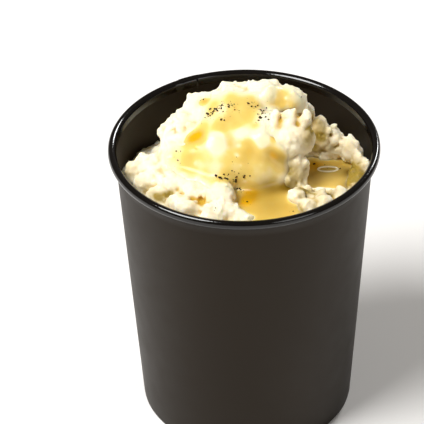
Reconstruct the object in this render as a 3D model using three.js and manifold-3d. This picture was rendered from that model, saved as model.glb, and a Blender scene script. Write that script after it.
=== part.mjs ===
// Mashed potato side: a tall black paper cup heaped with rough mash, under poured gravy and pepper.
// Millimetres, +Z up. The origin is the middle of the circle that the cup stands on.

import * as THREE from "three";
import { mergeVertices } from "three/addons/utils/BufferGeometryUtils.js";
import Module from "manifold-3d";

// ---------------------------------------------------------------- driving dimensions

const cup = {
  height: 134.5,
  rimRadius: 58.5, // outermost edge of the rolled rim
  rollWidth: 3.0,
  rollHeight: 3.8,
  baseRadius: 47.6,
  paper: 0.6, // coated paperboard
  discHeight: 6.0, // underside of the base disc above the table
  hemHeight: 5.0, // foot of the side wall, folded inwards and up
  sides: 48,
};
const gap = 0.3; // between pieces that touch
const heapAllowance = 60; // clear height kept over the rim for the heap
const mashGap = 0.4; // mash to the faceted paper
const bedLevel = 117.5; // mash level on the cup's axis, away from the heap
const bedSlope = 0.2; // it falls this much per millimetre towards the back

// The heap's crags: centre x, y, z, half-axes x, y, z, and lean to the right in degrees.
const crags = {
  mound: [-3, 2, 127, 27, 26, 25, 0],
  frontFace: [6.6, -17.5, 132, 13, 12, 13, 0],
  frontMiddle: [-9.4, -16.5, 136, 19, 12.5, 11.5, 0],
  middleFill: [-2.4, -4.5, 145, 20, 12, 9, 0],
  leftFace: [-24.7, -14.2, 134, 12, 9, 8, 0],
  leftFill: [-26.5, -4.4, 136, 9.5, 10, 9, 0],
  frontBed: [8, -38, 121, 26, 16, 7, 0],

  topLeft: [-22.4, 6, 148.5, 5, 6, 6, 0],
  topLeftInner: [-18.1, 7.5, 150.5, 5, 5, 4.2, 0],
  topLeftLower: [-24.6, 1.3, 145.5, 5.5, 6, 5.5, 0],
  dome: [-3.4, 4.9, 151.6, 12.4, 12, 7, 0],
  apex: [10.1, 7, 155.5, 6, 7, 5.6, 0],
  apexLeft: [4.6, 8.6, 154.5, 4.4, 5, 4.6, 0],
  topRight: [19, 6.7, 152.6, 6, 7, 5.6, 0],
  topRightEdge: [23.6, 6.5, 150.8, 4, 5, 4.8, 0],

  shoulder: [-29.9, 2.8, 141, 5.2, 6, 5, 0],
  shoulderTip: [-34.5, 2.8, 139.2, 2.2, 3, 1.8, 0],
  leftTip: [-43.1, -7.8, 133.5, 2.8, 4, 2.8, 0],
  leftLump: [-38.4, -13.3, 131, 7.5, 8, 7.6, 0],
  leftWall: [-46.6, -12.5, 128.5, 4.6, 6, 6, 0],
  leftRim: [-40.7, -24.2, 129.5, 6.5, 6, 5.5, 0],
  leftBroad: [-35.5, -20.5, 129, 10, 9, 7.6, 0],

  clawPalm: [17.6, -18, 146.8, 5.6, 4.8, 6, 0],
  clawPalmRight: [24.4, -16, 145.8, 5.4, 4.8, 6.4, 0],
  clawPalmMiddle: [21, -15.5, 147, 6.4, 5, 6, 0],
  clawPalmLow: [20.1, -19, 143.9, 5.6, 4.4, 4.4, 0],
  clawRoot: [11.6, -13.4, 146.6, 5.5, 5, 5.5, 0],
  clawEdge: [27.8, -14.5, 146.8, 2.4, 4, 5.4, 0],
  clawKnifeBase: [24.4, -13, 149.3, 5.2, 3.8, 4.8, 0],
  clawKnife: [25, -12, 152.1, 3.8, 3, 4.2, 8],
  clawKnifeHigh: [25.9, -11.5, 154.6, 2.5, 2.2, 3.6, 12],
  clawKnifeTip: [26.8, -11.3, 156.4, 1.4, 1.5, 2.2, 14],
  clawFingerBase: [18.6, -13, 151.3, 5, 4, 4.4, 0],
  clawFingerLeft: [17.4, -11.5, 154.2, 2.6, 3.2, 4, 0],
  clawFingerRight: [20.2, -11.5, 155, 2.6, 3.2, 4, 0],
  clawThumbBase: [13.2, -12.5, 151.6, 2.8, 3.6, 4, 0],
  clawThumb: [13.6, -11.5, 154.4, 2.2, 2.8, 3.4, 0],
  rightWall: [22.6, -18.2, 136, 4.4, 4.8, 4.8, 0],
  rightWallMiddle: [21.6, -19.8, 131.4, 4.6, 5, 4.8, 0],
  rightFoot: [17.6, -24, 131, 5, 5, 5, 0],

  ridgeTop: [28.2, 12.8, 141, 3, 5, 5, 0],
  ridgeMiddle: [32.2, 7.9, 136, 4.8, 6, 4.8, 0],
  ridgeTip: [38.2, 7.6, 133.4, 3, 5, 2.2, 0],
  ridgeBase: [33.7, 9.4, 127, 9, 7, 8, 0],
  ridgeSlope: [31, 5.4, 129.5, 5.6, 5.6, 8, 0],
  ridgePebble: [33.4, 4, 128.2, 3.4, 3, 3.6, 0],
  ridgeFill: [36, 5.4, 127.4, 4.8, 4.6, 6.6, 0],
  ridgeBank: [40, 3.6, 128, 5.5, 4.6, 6, 0],
  rearRight: [45, 0.6, 129.6, 5.2, 6.5, 5.2, 0],
  rearRightSide: [48, -4.3, 129.5, 3.2, 5, 4.6, 0],
  rightEnd: [50, -10.3, 128.6, 3.4, 6, 4, 0],
  rightLow: [49, -11, 125.6, 5, 10, 6.2, 0],
  rightSlope: [47.5, -20, 124.4, 4.4, 7, 4.4, 0],

  frontLeftBed: [-25, -33, 125.5, 19, 14, 7, 0],
  frontRightBed: [33.4, -33.6, 123.2, 14, 12, 7, 0],
  frontWhite: [-10.7, -38, 131.6, 6.6, 6.4, 7, 0],
  frontSaddle: [-11, -32.4, 132.4, 6, 6, 4.6, 0],
  frontWhiteLow: [-11.6, -44.6, 130.6, 7.2, 4.8, 5, 0],
  frontRimLump: [-1.4, -47, 129.4, 4.6, 3.6, 4.2, 0],
  frontLeft: [-20.7, -31, 133, 6.5, 6, 4.6, 0],
  frontLeftOuter: [-30.4, -27.2, 132, 6.5, 6, 5, 0],
  frontLeftFill: [-20.7, -27, 133, 12, 5, 4.6, 0],
  frontLeftRim: [-28.2, -38, 131, 6.5, 4.5, 3.6, 0],
  frontLeftEnd: [-36, -33.3, 130.5, 4.4, 4.5, 3.6, 0],
  frontLeftFoot: [-19.8, -44, 131.5, 5, 4.5, 3.6, 0],
  frontPoint: [21.6, -36, 130.4, 4, 5, 5, -8],
  frontRight: [25.4, -42, 129.6, 4.6, 4.5, 4, 0],
  frontRightMiddle: [31.2, -35.4, 129.4, 5, 4.2, 4, 0],
  frontRightRim: [33, -39.4, 130, 6, 4.4, 4, 0],
  frontRightEnd: [39, -33.2, 128.8, 5.2, 4.6, 4, 0],
  pebble: [26.2, -31, 129.2, 3, 3, 3, 0],
  smallPebble: [26.4, -36.8, 131, 2.1, 2, 1.9, 0],

  backLeft: [-14, 16.6, 139, 10, 8, 9, 0],
  backMiddle: [2, 18, 141, 10, 8, 9, 0],
  backRight: [17, 15.6, 138.5, 9, 8, 9, 0],
  backLeftLow: [-24, 15, 129, 10, 10, 13, 0],
  backMiddleLow: [-6, 24, 125, 13, 10, 13, 0],
  backRightLow: [14, 23, 124, 12, 10, 13, 0],
  bedLeft: [-33, 22, 113, 9, 8, 6, 0],
  bedBack: [-14, 41, 107, 10, 7, 6, 0],
  bedBackRight: [25, 36, 109, 9, 8, 6, 0],
  bedRight: [42, 18, 113, 8, 9, 6, 0],
};
// Forms that the gravy runs over: they stay smooth and carry no crumbs.
const smoothForms = [
  "mound",
  "frontFace",
  "frontMiddle",
  "middleFill",
  "leftFace",
  "leftBroad",
  "frontBed",
  "frontLeftBed",
  "frontRightBed",
  "frontLeftFill",
  "frontSaddle",
  "dome",
];
// Forms with a hollow under them: they are joined on in the round.
const overhanging = [
  "mound",
  "topLeft",
  "topLeftLower",
  "topRight",
  "apex",
  "shoulder",
  "shoulderTip",
  "leftFill",
  "leftTip",
  "clawPalm",
  "clawPalmRight",
  "clawPalmMiddle",
  "clawPalmLow",
  "clawEdge",
  "clawKnifeBase",
  "clawKnife",
  "clawKnifeHigh",
  "clawKnifeTip",
  "clawFingerBase",
  "clawFingerLeft",
  "clawFingerRight",
  "clawThumbBase",
  "clawThumb",
  "ridgeTip",
  "rearRight",
  "frontWhite",
  "frontPoint",
  "pebble",
  "smallPebble",
  "backLeft",
  "backMiddle",
  "backRight",
  "backLeftLow",
  "backMiddleLow",
  "backRightLow",
];
const gridStep = 2.9; // of the heap's surface
const facetLength = 1.6; // on the smallest crags in the round
const facetGrowth = 0.16; // and this much more per millimetre of a crag's size
const steepest = 55; // slope in degrees at which the gap under the gravy is still whole
const roughness = 1.5; // depth of the mash's unevenness
const slightRoughness = 0.3; // the same under gravy
const wholeRoughness = 7; // size of the crags, from which they take the whole of it
const crumbCount = 22;
const crumbRadius = [1.6, 2.6];
const icosahedronEdge = 1.05; // edge of an icosahedron of radius 1
const sunk = 0.8; // crumbs' centres lie this far out from a crag's middle to its surface

// Pools and runs of gravy: centre x, y, radius, thickness in the middle.
const flows = [
  [-10, -3, 11, 1.8],
  [-1, 1, 13, 2.0],
  [4, -7, 9, 1.8],
  [17, 1, 7, 2.2],
  [-17, -14, 10, 2.0],
  [-4, -16, 12, 1.8],
  [8, -23, 10, 2.2],
  [-21, -23, 9, 2.0],
  [-9, -27, 11, 2.2],
  [3, -30, 12, 2.6],
  [13, -27, 8, 2.2],
];
const frontPool = { x: 10, y: -41, radius: 15, level: 130.6 };
const sidePool = { x: 36, y: -10.8, radius: 13.5, level: 125.6 };
const flowPlan = { west: -37, east: 25.6, south: -56, north: 16 };
const sidePlan = { west: 26, east: 53, south: -30, north: 6 };
const poolBank = 12; // how fast a pool's sheet drops past its edge
const dive = 3.5; // how far the gravy's sheet sinks into the mash beyond its edge
const sheetDepth = 9; // down to the sheet's hidden underside, before the mash is cut away

// Pepper: clusters of flecks as centre x, y, spread, count.
const flowPepper = [
  [-11, -4, 4.5, 9],
  [4, -5, 4, 9],
  [-4, -32, 4, 9],
];
const sidePepper = [[35, -10, 4, 3]];
const fleckRadius = [0.7, 1.1];
const fleckShape = [1.2, 0.9, 0.7];

const seed = 11;

// ---------------------------------------------------------------- materials

const blackPaper = new THREE.MeshStandardMaterial({ color: 0x2b2724, roughness: 0.55, metalness: 0 });
const mashCream = new THREE.MeshStandardMaterial({ color: 0xf6edcf, roughness: 0.6, metalness: 0 });
const gravyGold = new THREE.MeshStandardMaterial({ color: 0xf2cf6a, roughness: 0.2, metalness: 0 });

// ---------------------------------------------------------------- helpers

const wasm = await Module();
wasm.setup();

/** A repeatable run of numbers from 0 to 1. */
function makeRandom(start) {
  let state = start;
  return () => {
    state = (state + 0x6d2b79f5) | 0;
    let t = Math.imul(state ^ (state >>> 15), 1 | state);
    t = (t + Math.imul(t ^ (t >>> 7), 61 | t)) ^ t;
    return ((t ^ (t >>> 14)) >>> 0) / 4294967296;
  };
}

const random = makeRandom(seed);
const between = (low, high) => low + (high - low) * random();
const radians = THREE.MathUtils.degToRad;

const waveGain = 1.6; // brings the mean of many waves back to between about -1 and 1

/** Crossing waves in seeded directions: a soft unevenness between about -1 and 1. */
function makeWaves(count, shortest, longest) {
  const waves = [];
  for (let i = 0; i < count; i += 1) {
    const direction = new THREE.Vector3(between(-1, 1), between(-1, 1), between(-1, 1)).normalize();
    const length = between(shortest, longest);
    waves.push({ k: direction.multiplyScalar((2 * Math.PI) / length), phase: between(0, 2 * Math.PI) });
  }
  return (point) => {
    let sum = 0;
    for (const { k, phase } of waves) {
      sum += Math.sin(k.dot(point) + phase);
    }
    return (waveGain * sum) / count;
  };
}

const unevenness = makeWaves(12, 5, 10);

/** A closed three.js geometry as a solid that can be joined and cut. */
function toSolid(geometry) {
  const bare = geometry.clone();
  bare.deleteAttribute("normal");
  bare.deleteAttribute("uv");
  const merged = mergeVertices(bare, 1e-4);
  return new wasm.Manifold(
    new wasm.Mesh({
      numProp: 3,
      vertProperties: new Float32Array(merged.attributes.position.array),
      triVerts: new Uint32Array(merged.index.array),
    }),
  );
}

/** The other way round: a solid's triangles as a geometry. */
function toGeometry(solid) {
  const mesh = solid.getMesh();
  const geometry = new THREE.BufferGeometry();
  geometry.setAttribute("position", new THREE.BufferAttribute(new Float32Array(mesh.vertProperties), 3));
  geometry.setIndex(new THREE.BufferAttribute(new Uint32Array(mesh.triVerts), 1));
  geometry.computeVertexNormals();
  return geometry;
}

/** Joins solids in pairs, then the pairs in pairs, which stays quick for many pieces. */
function join(solids) {
  let queue = solids;
  while (queue.length > 1) {
    const next = [];
    for (let i = 0; i < queue.length; i += 2) {
      next.push(i + 1 < queue.length ? queue[i].add(queue[i + 1]) : queue[i]);
    }
    queue = next;
  }
  return queue[0];
}

/** The largest of a solid's separate bodies: scraps left by a cut are dropped. */
function largestBody(solid) {
  const bodies = solid.decompose();
  bodies.sort((a, b) => b.volume() - a.volume());
  return bodies[0];
}

function lathe(points) {
  const profile = points.map(([radius, z]) => new THREE.Vector2(radius, z));
  const geometry = new THREE.LatheGeometry(profile, cup.sides);
  geometry.rotateX(Math.PI / 2);
  return geometry;
}

// ---------------------------------------------------------------- the cup

const wallTopRadius = cup.rimRadius - cup.rollWidth;
const wallTopHeight = cup.height - cup.rollHeight;
const rollTurn = 285; // degrees of the rim's roll from the inner face round to the outer one
const rollSteps = 9;

/** Outer radius of the tapered side wall at a height. */
function wallRadius(z) {
  return cup.baseRadius + ((wallTopRadius - cup.baseRadius) * z) / wallTopHeight;
}

/** Points of a rolled rim: from the wall's inner face over the top, round and back under. */
function rollPoints() {
  const points = [];
  const centre = [wallTopRadius + cup.rollWidth / 2, cup.height - cup.rollHeight / 2];
  const innerReach = centre[0] - (wallTopRadius - cup.paper);
  for (let i = 0; i <= rollSteps; i += 1) {
    const angle = 180 - (i * rollTurn) / rollSteps;
    const reach = angle > 90 ? innerReach : cup.rollWidth / 2;
    points.push([
      centre[0] + reach * Math.cos(radians(angle)),
      centre[1] + (cup.rollHeight / 2) * Math.sin(radians(angle)),
    ]);
  }
  return points;
}

/** Tapered side wall, its rolled rim and the hem folded in at its foot, as one sheet of paper. */
function makeCupWall() {
  const hemOuter = cup.baseRadius - cup.paper - gap - cup.paper - gap;
  const profile = [
    [cup.baseRadius, 0],
    [hemOuter - cup.paper, 0],
    [hemOuter - cup.paper, cup.hemHeight],
    [hemOuter, cup.hemHeight],
    [hemOuter, cup.paper],
    [cup.baseRadius - cup.paper, cup.paper],
    [wallRadius(wallTopHeight / 2) - cup.paper, wallTopHeight / 2],
    ...rollPoints(),
    [wallTopRadius, wallTopHeight + 0.5],
    [wallRadius(wallTopHeight / 2), wallTopHeight / 2],
    [cup.baseRadius, 0],
  ];
  return new THREE.Mesh(outwards(lathe(profile)), blackPaper);
}

/** Base disc with its skirt, which hangs between the wall and the hem. */
function makeCupBase() {
  const outer = cup.baseRadius - cup.paper - gap;
  const inner = outer - cup.paper;
  const skirtFoot = cup.paper + gap;
  const profile = [
    [0, cup.discHeight],
    [inner, cup.discHeight],
    [inner, skirtFoot],
    [outer, skirtFoot],
    [outer, cup.discHeight + cup.paper],
    [0, cup.discHeight + cup.paper],
  ];
  return new THREE.Mesh(outwards(lathe(profile)), blackPaper);
}

/** Turns a closed geometry's faces outwards if its volume comes out negative. */
function outwards(geometry) {
  const position = geometry.attributes.position;
  const index = geometry.index;
  const [a, b, c] = [new THREE.Vector3(), new THREE.Vector3(), new THREE.Vector3()];
  let volume = 0;
  for (let i = 0; i < index.count; i += 3) {
    a.fromBufferAttribute(position, index.getX(i));
    b.fromBufferAttribute(position, index.getX(i + 1));
    c.fromBufferAttribute(position, index.getX(i + 2));
    volume += a.dot(b.cross(c));
  }
  if (volume < 0) {
    for (let i = 0; i < index.count; i += 3) {
      const first = index.getX(i);
      index.setX(i, index.getX(i + 2));
      index.setX(i + 2, first);
    }
    geometry.computeVertexNormals();
  }
  return geometry;
}

// ---------------------------------------------------------------- the mash

/** Room inside the cup for its contents, from the base disc to well above the rim. */
function makeRoom(inset) {
  const floor = cup.discHeight + cup.paper + gap;
  const reach = cup.paper + inset;
  const high = cup.height + heapAllowance;
  return toSolid(
    outwards(
      lathe([
        [0, floor],
        [wallRadius(floor) - reach, floor],
        [wallRadius(wallTopHeight) - reach, wallTopHeight],
        [wallRadius(wallTopHeight) - reach, high],
        [0, high],
      ]),
    ),
  );
}

const named = (keep) => Object.keys(crags).filter(keep).map((name) => crags[name]);
const groundForms = named((name) => !overhanging.includes(name));
const pouredForms = named((name) => !name.startsWith("claw")); // what the gravy was poured over

/** Height of the bed and of some forms above a point of the plan. */
function plainHeight(x, y, forms) {
  let highest = bedLevel - bedSlope * y;
  for (const [cx, cy, cz, halfX, halfY, halfZ] of forms) {
    const away = Math.hypot((x - cx) / halfX, (y - cy) / halfY);
    highest = Math.max(highest, cz + halfZ * domeProfile(away));
  }
  return highest;
}

/** A unit dome's height at a distance from its middle, with a straight steep skirt at its foot. */
function domeProfile(away) {
  const shoulder = 0.95;
  if (away < shoulder) {
    return Math.sqrt(1 - away ** 2);
  }
  const height = Math.sqrt(1 - shoulder ** 2);
  return height - ((away - shoulder) * shoulder) / height;
}

/** The plain height with the mash's unevenness, which is slight where gravy lies on it. */
function mashHeight(x, y) {
  const height = plainHeight(x, y, groundForms);
  const depth = gravyThickness(x, y) > 0 ? slightRoughness : roughness;
  return height + depth * unevenness(new THREE.Vector3(x, y, height));
}

/** A closed block over a rectangle of the plan, whose top and underside are functions of x and y. */
function makeBlock({ west, east, south, north }, step, topOf, undersideOf) {
  const columns = Math.round((east - west) / step);
  const rows = Math.round((north - south) / step);
  const geometry = new THREE.BoxGeometry(east - west, north - south, 2, columns, rows, 1);
  geometry.translate((west + east) / 2, (south + north) / 2, 0);
  const position = geometry.attributes.position;
  for (let i = 0; i < position.count; i += 1) {
    const [x, y] = [position.getX(i), position.getY(i)];
    position.setZ(i, position.getZ(i) > 0 ? topOf(x, y) : undersideOf(x, y));
  }
  return toSolid(geometry);
}

/** One crag in the round: a sphere stretched, leaned, made uneven and grown by a margin. */
function makeCrag([x, y, z, halfX, halfY, halfZ, lean], depth, grow) {
  const size = Math.cbrt(halfX * halfY * halfZ);
  const splits = Math.round((icosahedronEdge * size) / (facetLength + facetGrowth * size));
  const geometry = new THREE.IcosahedronGeometry(1, Math.max(0, splits - 1));
  const turn = new THREE.Matrix4().makeRotationY(radians(lean));
  const position = geometry.attributes.position;
  const point = new THREE.Vector3();
  const outward = new THREE.Vector3();
  for (let i = 0; i < position.count; i += 1) {
    point.fromBufferAttribute(position, i);
    outward.set(point.x / halfX, point.y / halfY, point.z / halfZ).normalize();
    point.set(point.x * halfX, point.y * halfY, point.z * halfZ);
    outward.applyMatrix4(turn);
    point.applyMatrix4(turn);
    point.add(new THREE.Vector3(x, y, z));
    point.addScaledVector(outward, depth * Math.min(1, size / wholeRoughness) * unevenness(point) + grow);
    position.setXYZ(i, point.x, point.y, point.z);
  }
  return toSolid(geometry);
}

/** Small crumbs that stand out of the rough crags' upper sides, at seeded places. */
function placeCrumbs() {
  const rough = Object.keys(crags).filter((name) => !smoothForms.includes(name) && !name.startsWith("claw"));
  const crumbs = [];
  for (let i = 0; i < crumbCount; i += 1) {
    const host = rough[Math.floor((i * rough.length) / crumbCount)];
    const [x, y, z, halfX, halfY, halfZ] = crags[host];
    const around = between(0, 2 * Math.PI);
    const rise = between(0.3, 0.95);
    const flat = Math.sqrt(1 - rise * rise);
    const radius = between(...crumbRadius);
    crumbs.push([
      x + sunk * halfX * flat * Math.cos(around),
      y + sunk * halfY * flat * Math.sin(around),
      z + sunk * halfZ * rise,
      radius,
      radius * between(0.8, 1.2),
      radius * between(0.7, 1),
      0,
    ]);
  }
  return crumbs;
}

const crumbs = placeCrumbs();

/** The whole mash, grown by a margin where it serves to cut its neighbours. */
function makeMash(grow) {
  const half = cup.rimRadius;
  const plan = { west: -half, east: half, south: -half, north: half };
  const rise = grow / Math.cos(radians(steepest));
  const body = makeBlock(plan, gridStep, (x, y) => mashHeight(x, y) + rise, () => 0);
  const pieces = [body];
  for (const name of overhanging) {
    pieces.push(makeCrag(crags[name], smoothForms.includes(name) ? slightRoughness : roughness, grow));
  }
  for (const crumb of crumbs) {
    pieces.push(makeCrag(crumb, slightRoughness, grow));
  }
  return largestBody(join(pieces).intersect(makeRoom(mashGap - grow)));
}

// ---------------------------------------------------------------- the gravy

/** The plain height evened out over a small disc, as a liquid evens out the hollows it fills. */
function evenHeight(x, y) {
  let sum = plainHeight(x, y, pouredForms);
  let count = 1;
  for (const ring of [1.8, 3.6]) {
    for (let i = 0; i < 8; i += 1) {
      const angle = (i * Math.PI) / 4;
      sum += plainHeight(x + ring * Math.cos(angle), y + ring * Math.sin(angle), pouredForms);
      count += 1;
    }
  }
  return sum / count;
}

/** Thickness of the gravy over a point of the plan: below zero outside its runs. */
function gravyThickness(x, y) {
  let best = -dive;
  for (const [cx, cy, radius, middle] of flows) {
    const away = Math.hypot(x - cx, y - cy) / radius;
    best = Math.max(best, middle * (1 - away ** 4));
  }
  return best;
}

/** Level top of a pool, turned down steeply past its edge. */
function poolHeight(pool, x, y) {
  const inside = 1 - (Math.hypot(x - pool.x, y - pool.y) / pool.radius) ** 6;
  return pool.level + Math.min(0, inside) * poolBank;
}

function flowTop(x, y) {
  return Math.max(evenHeight(x, y) + gravyThickness(x, y), poolHeight(frontPool, x, y));
}

function sidePoolTop(x, y) {
  return poolHeight(sidePool, x, y);
}

/** Pepper flecks as small eight-sided grains, pressed into the surface they lie on. */
function makeFlecks(clusters, topOf) {
  const flecks = [];
  for (const [x, y, spread, count] of clusters) {
    for (let i = 0; i < count; i += 1) {
      const radius = between(...fleckRadius);
      const px = x + between(-spread, spread);
      const py = y + between(-spread, spread) / 2;
      const grain = new THREE.OctahedronGeometry(radius, 0);
      grain.rotateZ(between(0, Math.PI));
      grain.scale(...fleckShape);
      grain.translate(px, py, topOf(px, py));
      flecks.push(toSolid(grain));
    }
  }
  return flecks;
}

const cutter = makeMash(gap);
const roomForGravy = makeRoom(mashGap);

/** Gravy over a stretch of the plan: what stands above the mash, with its pepper. */
function makeGravy(plan, clusters, topOf) {
  const sheet = makeBlock(plan, gridStep, topOf, (x, y) => topOf(x, y) - sheetDepth);
  const bare = largestBody(sheet.intersect(roomForGravy).subtract(cutter));
  const peppered = join([bare, ...makeFlecks(clusters, topOf)]).subtract(cutter);
  return new THREE.Mesh(toGeometry(largestBody(peppered)), gravyGold);
}

// ---------------------------------------------------------------- the whole part

const part = new THREE.Group();

function addPiece(name, mesh) {
  mesh.name = name;
  part.add(mesh);
}

addPiece("cup_wall", makeCupWall());
addPiece("cup_base", makeCupBase());
addPiece("mashed_potato", new THREE.Mesh(toGeometry(makeMash(0)), mashCream));
addPiece("gravy", makeGravy(flowPlan, flowPepper, flowTop));
addPiece("gravy_pool", makeGravy(sidePlan, sidePepper, sidePoolTop));

export default part;
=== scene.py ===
"""Mashed potato side: a tall black paper cup heaped with rough mash, under poured gravy and cracked pepper.

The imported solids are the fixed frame. Tables are in millimetres; Blender objects are in metres.
"""

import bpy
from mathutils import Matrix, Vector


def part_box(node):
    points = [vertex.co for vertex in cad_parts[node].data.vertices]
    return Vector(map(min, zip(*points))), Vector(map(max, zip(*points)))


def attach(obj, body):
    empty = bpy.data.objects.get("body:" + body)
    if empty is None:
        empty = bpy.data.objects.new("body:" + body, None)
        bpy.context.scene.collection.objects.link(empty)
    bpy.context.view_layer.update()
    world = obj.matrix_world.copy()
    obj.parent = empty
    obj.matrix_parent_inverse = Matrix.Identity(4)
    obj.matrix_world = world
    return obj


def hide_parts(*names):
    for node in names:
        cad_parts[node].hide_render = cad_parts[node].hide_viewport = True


bl_info = {
    "name": "Mashed potato side",
    "version": (1, 0, 0),
    "blender": (4, 5, 0),
    "location": "3D View > Sidebar > Potato side",
    "description": "Makes a paper cup of mashed potato with gravy and cracked pepper",
    "category": "Object",
}

import itertools
import math

import bmesh
import bpy
import numpy as np
from mathutils import Matrix, Vector
from mathutils.bvhtree import BVHTree

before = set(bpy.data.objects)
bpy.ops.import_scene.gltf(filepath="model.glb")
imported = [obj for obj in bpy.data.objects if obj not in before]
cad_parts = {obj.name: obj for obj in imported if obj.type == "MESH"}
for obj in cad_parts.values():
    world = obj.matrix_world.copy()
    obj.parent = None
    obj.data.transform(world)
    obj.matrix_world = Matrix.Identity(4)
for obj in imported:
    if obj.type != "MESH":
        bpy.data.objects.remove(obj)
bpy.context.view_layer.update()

MM = 0.001

# ---------------------------------------------------------------- driving tables, millimetres

CUP_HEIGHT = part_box("cup_wall")[1].z / MM
RIM_RADIUS = 58.5
ROLL_WIDTH, ROLL_HEIGHT = 3.0, 3.8
BASE_RADIUS = 47.6
PAPER = 0.6
DISC_HEIGHT, HEM_HEIGHT = 6.0, 5.0
GAP = 0.3
BED_LEVEL, BED_SLOPE = 117.5, 0.2
MAIN_FORMS = 7  # the first crags of the table are the heap's bulk, which run into each other

# Crags with names that start like this keep clear edges where they meet others.
SHARP = ("claw_f", "claw_k", "claw_t", "ridge_tip", "rear", "pebble", "small", "front_point", "front_right")

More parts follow.
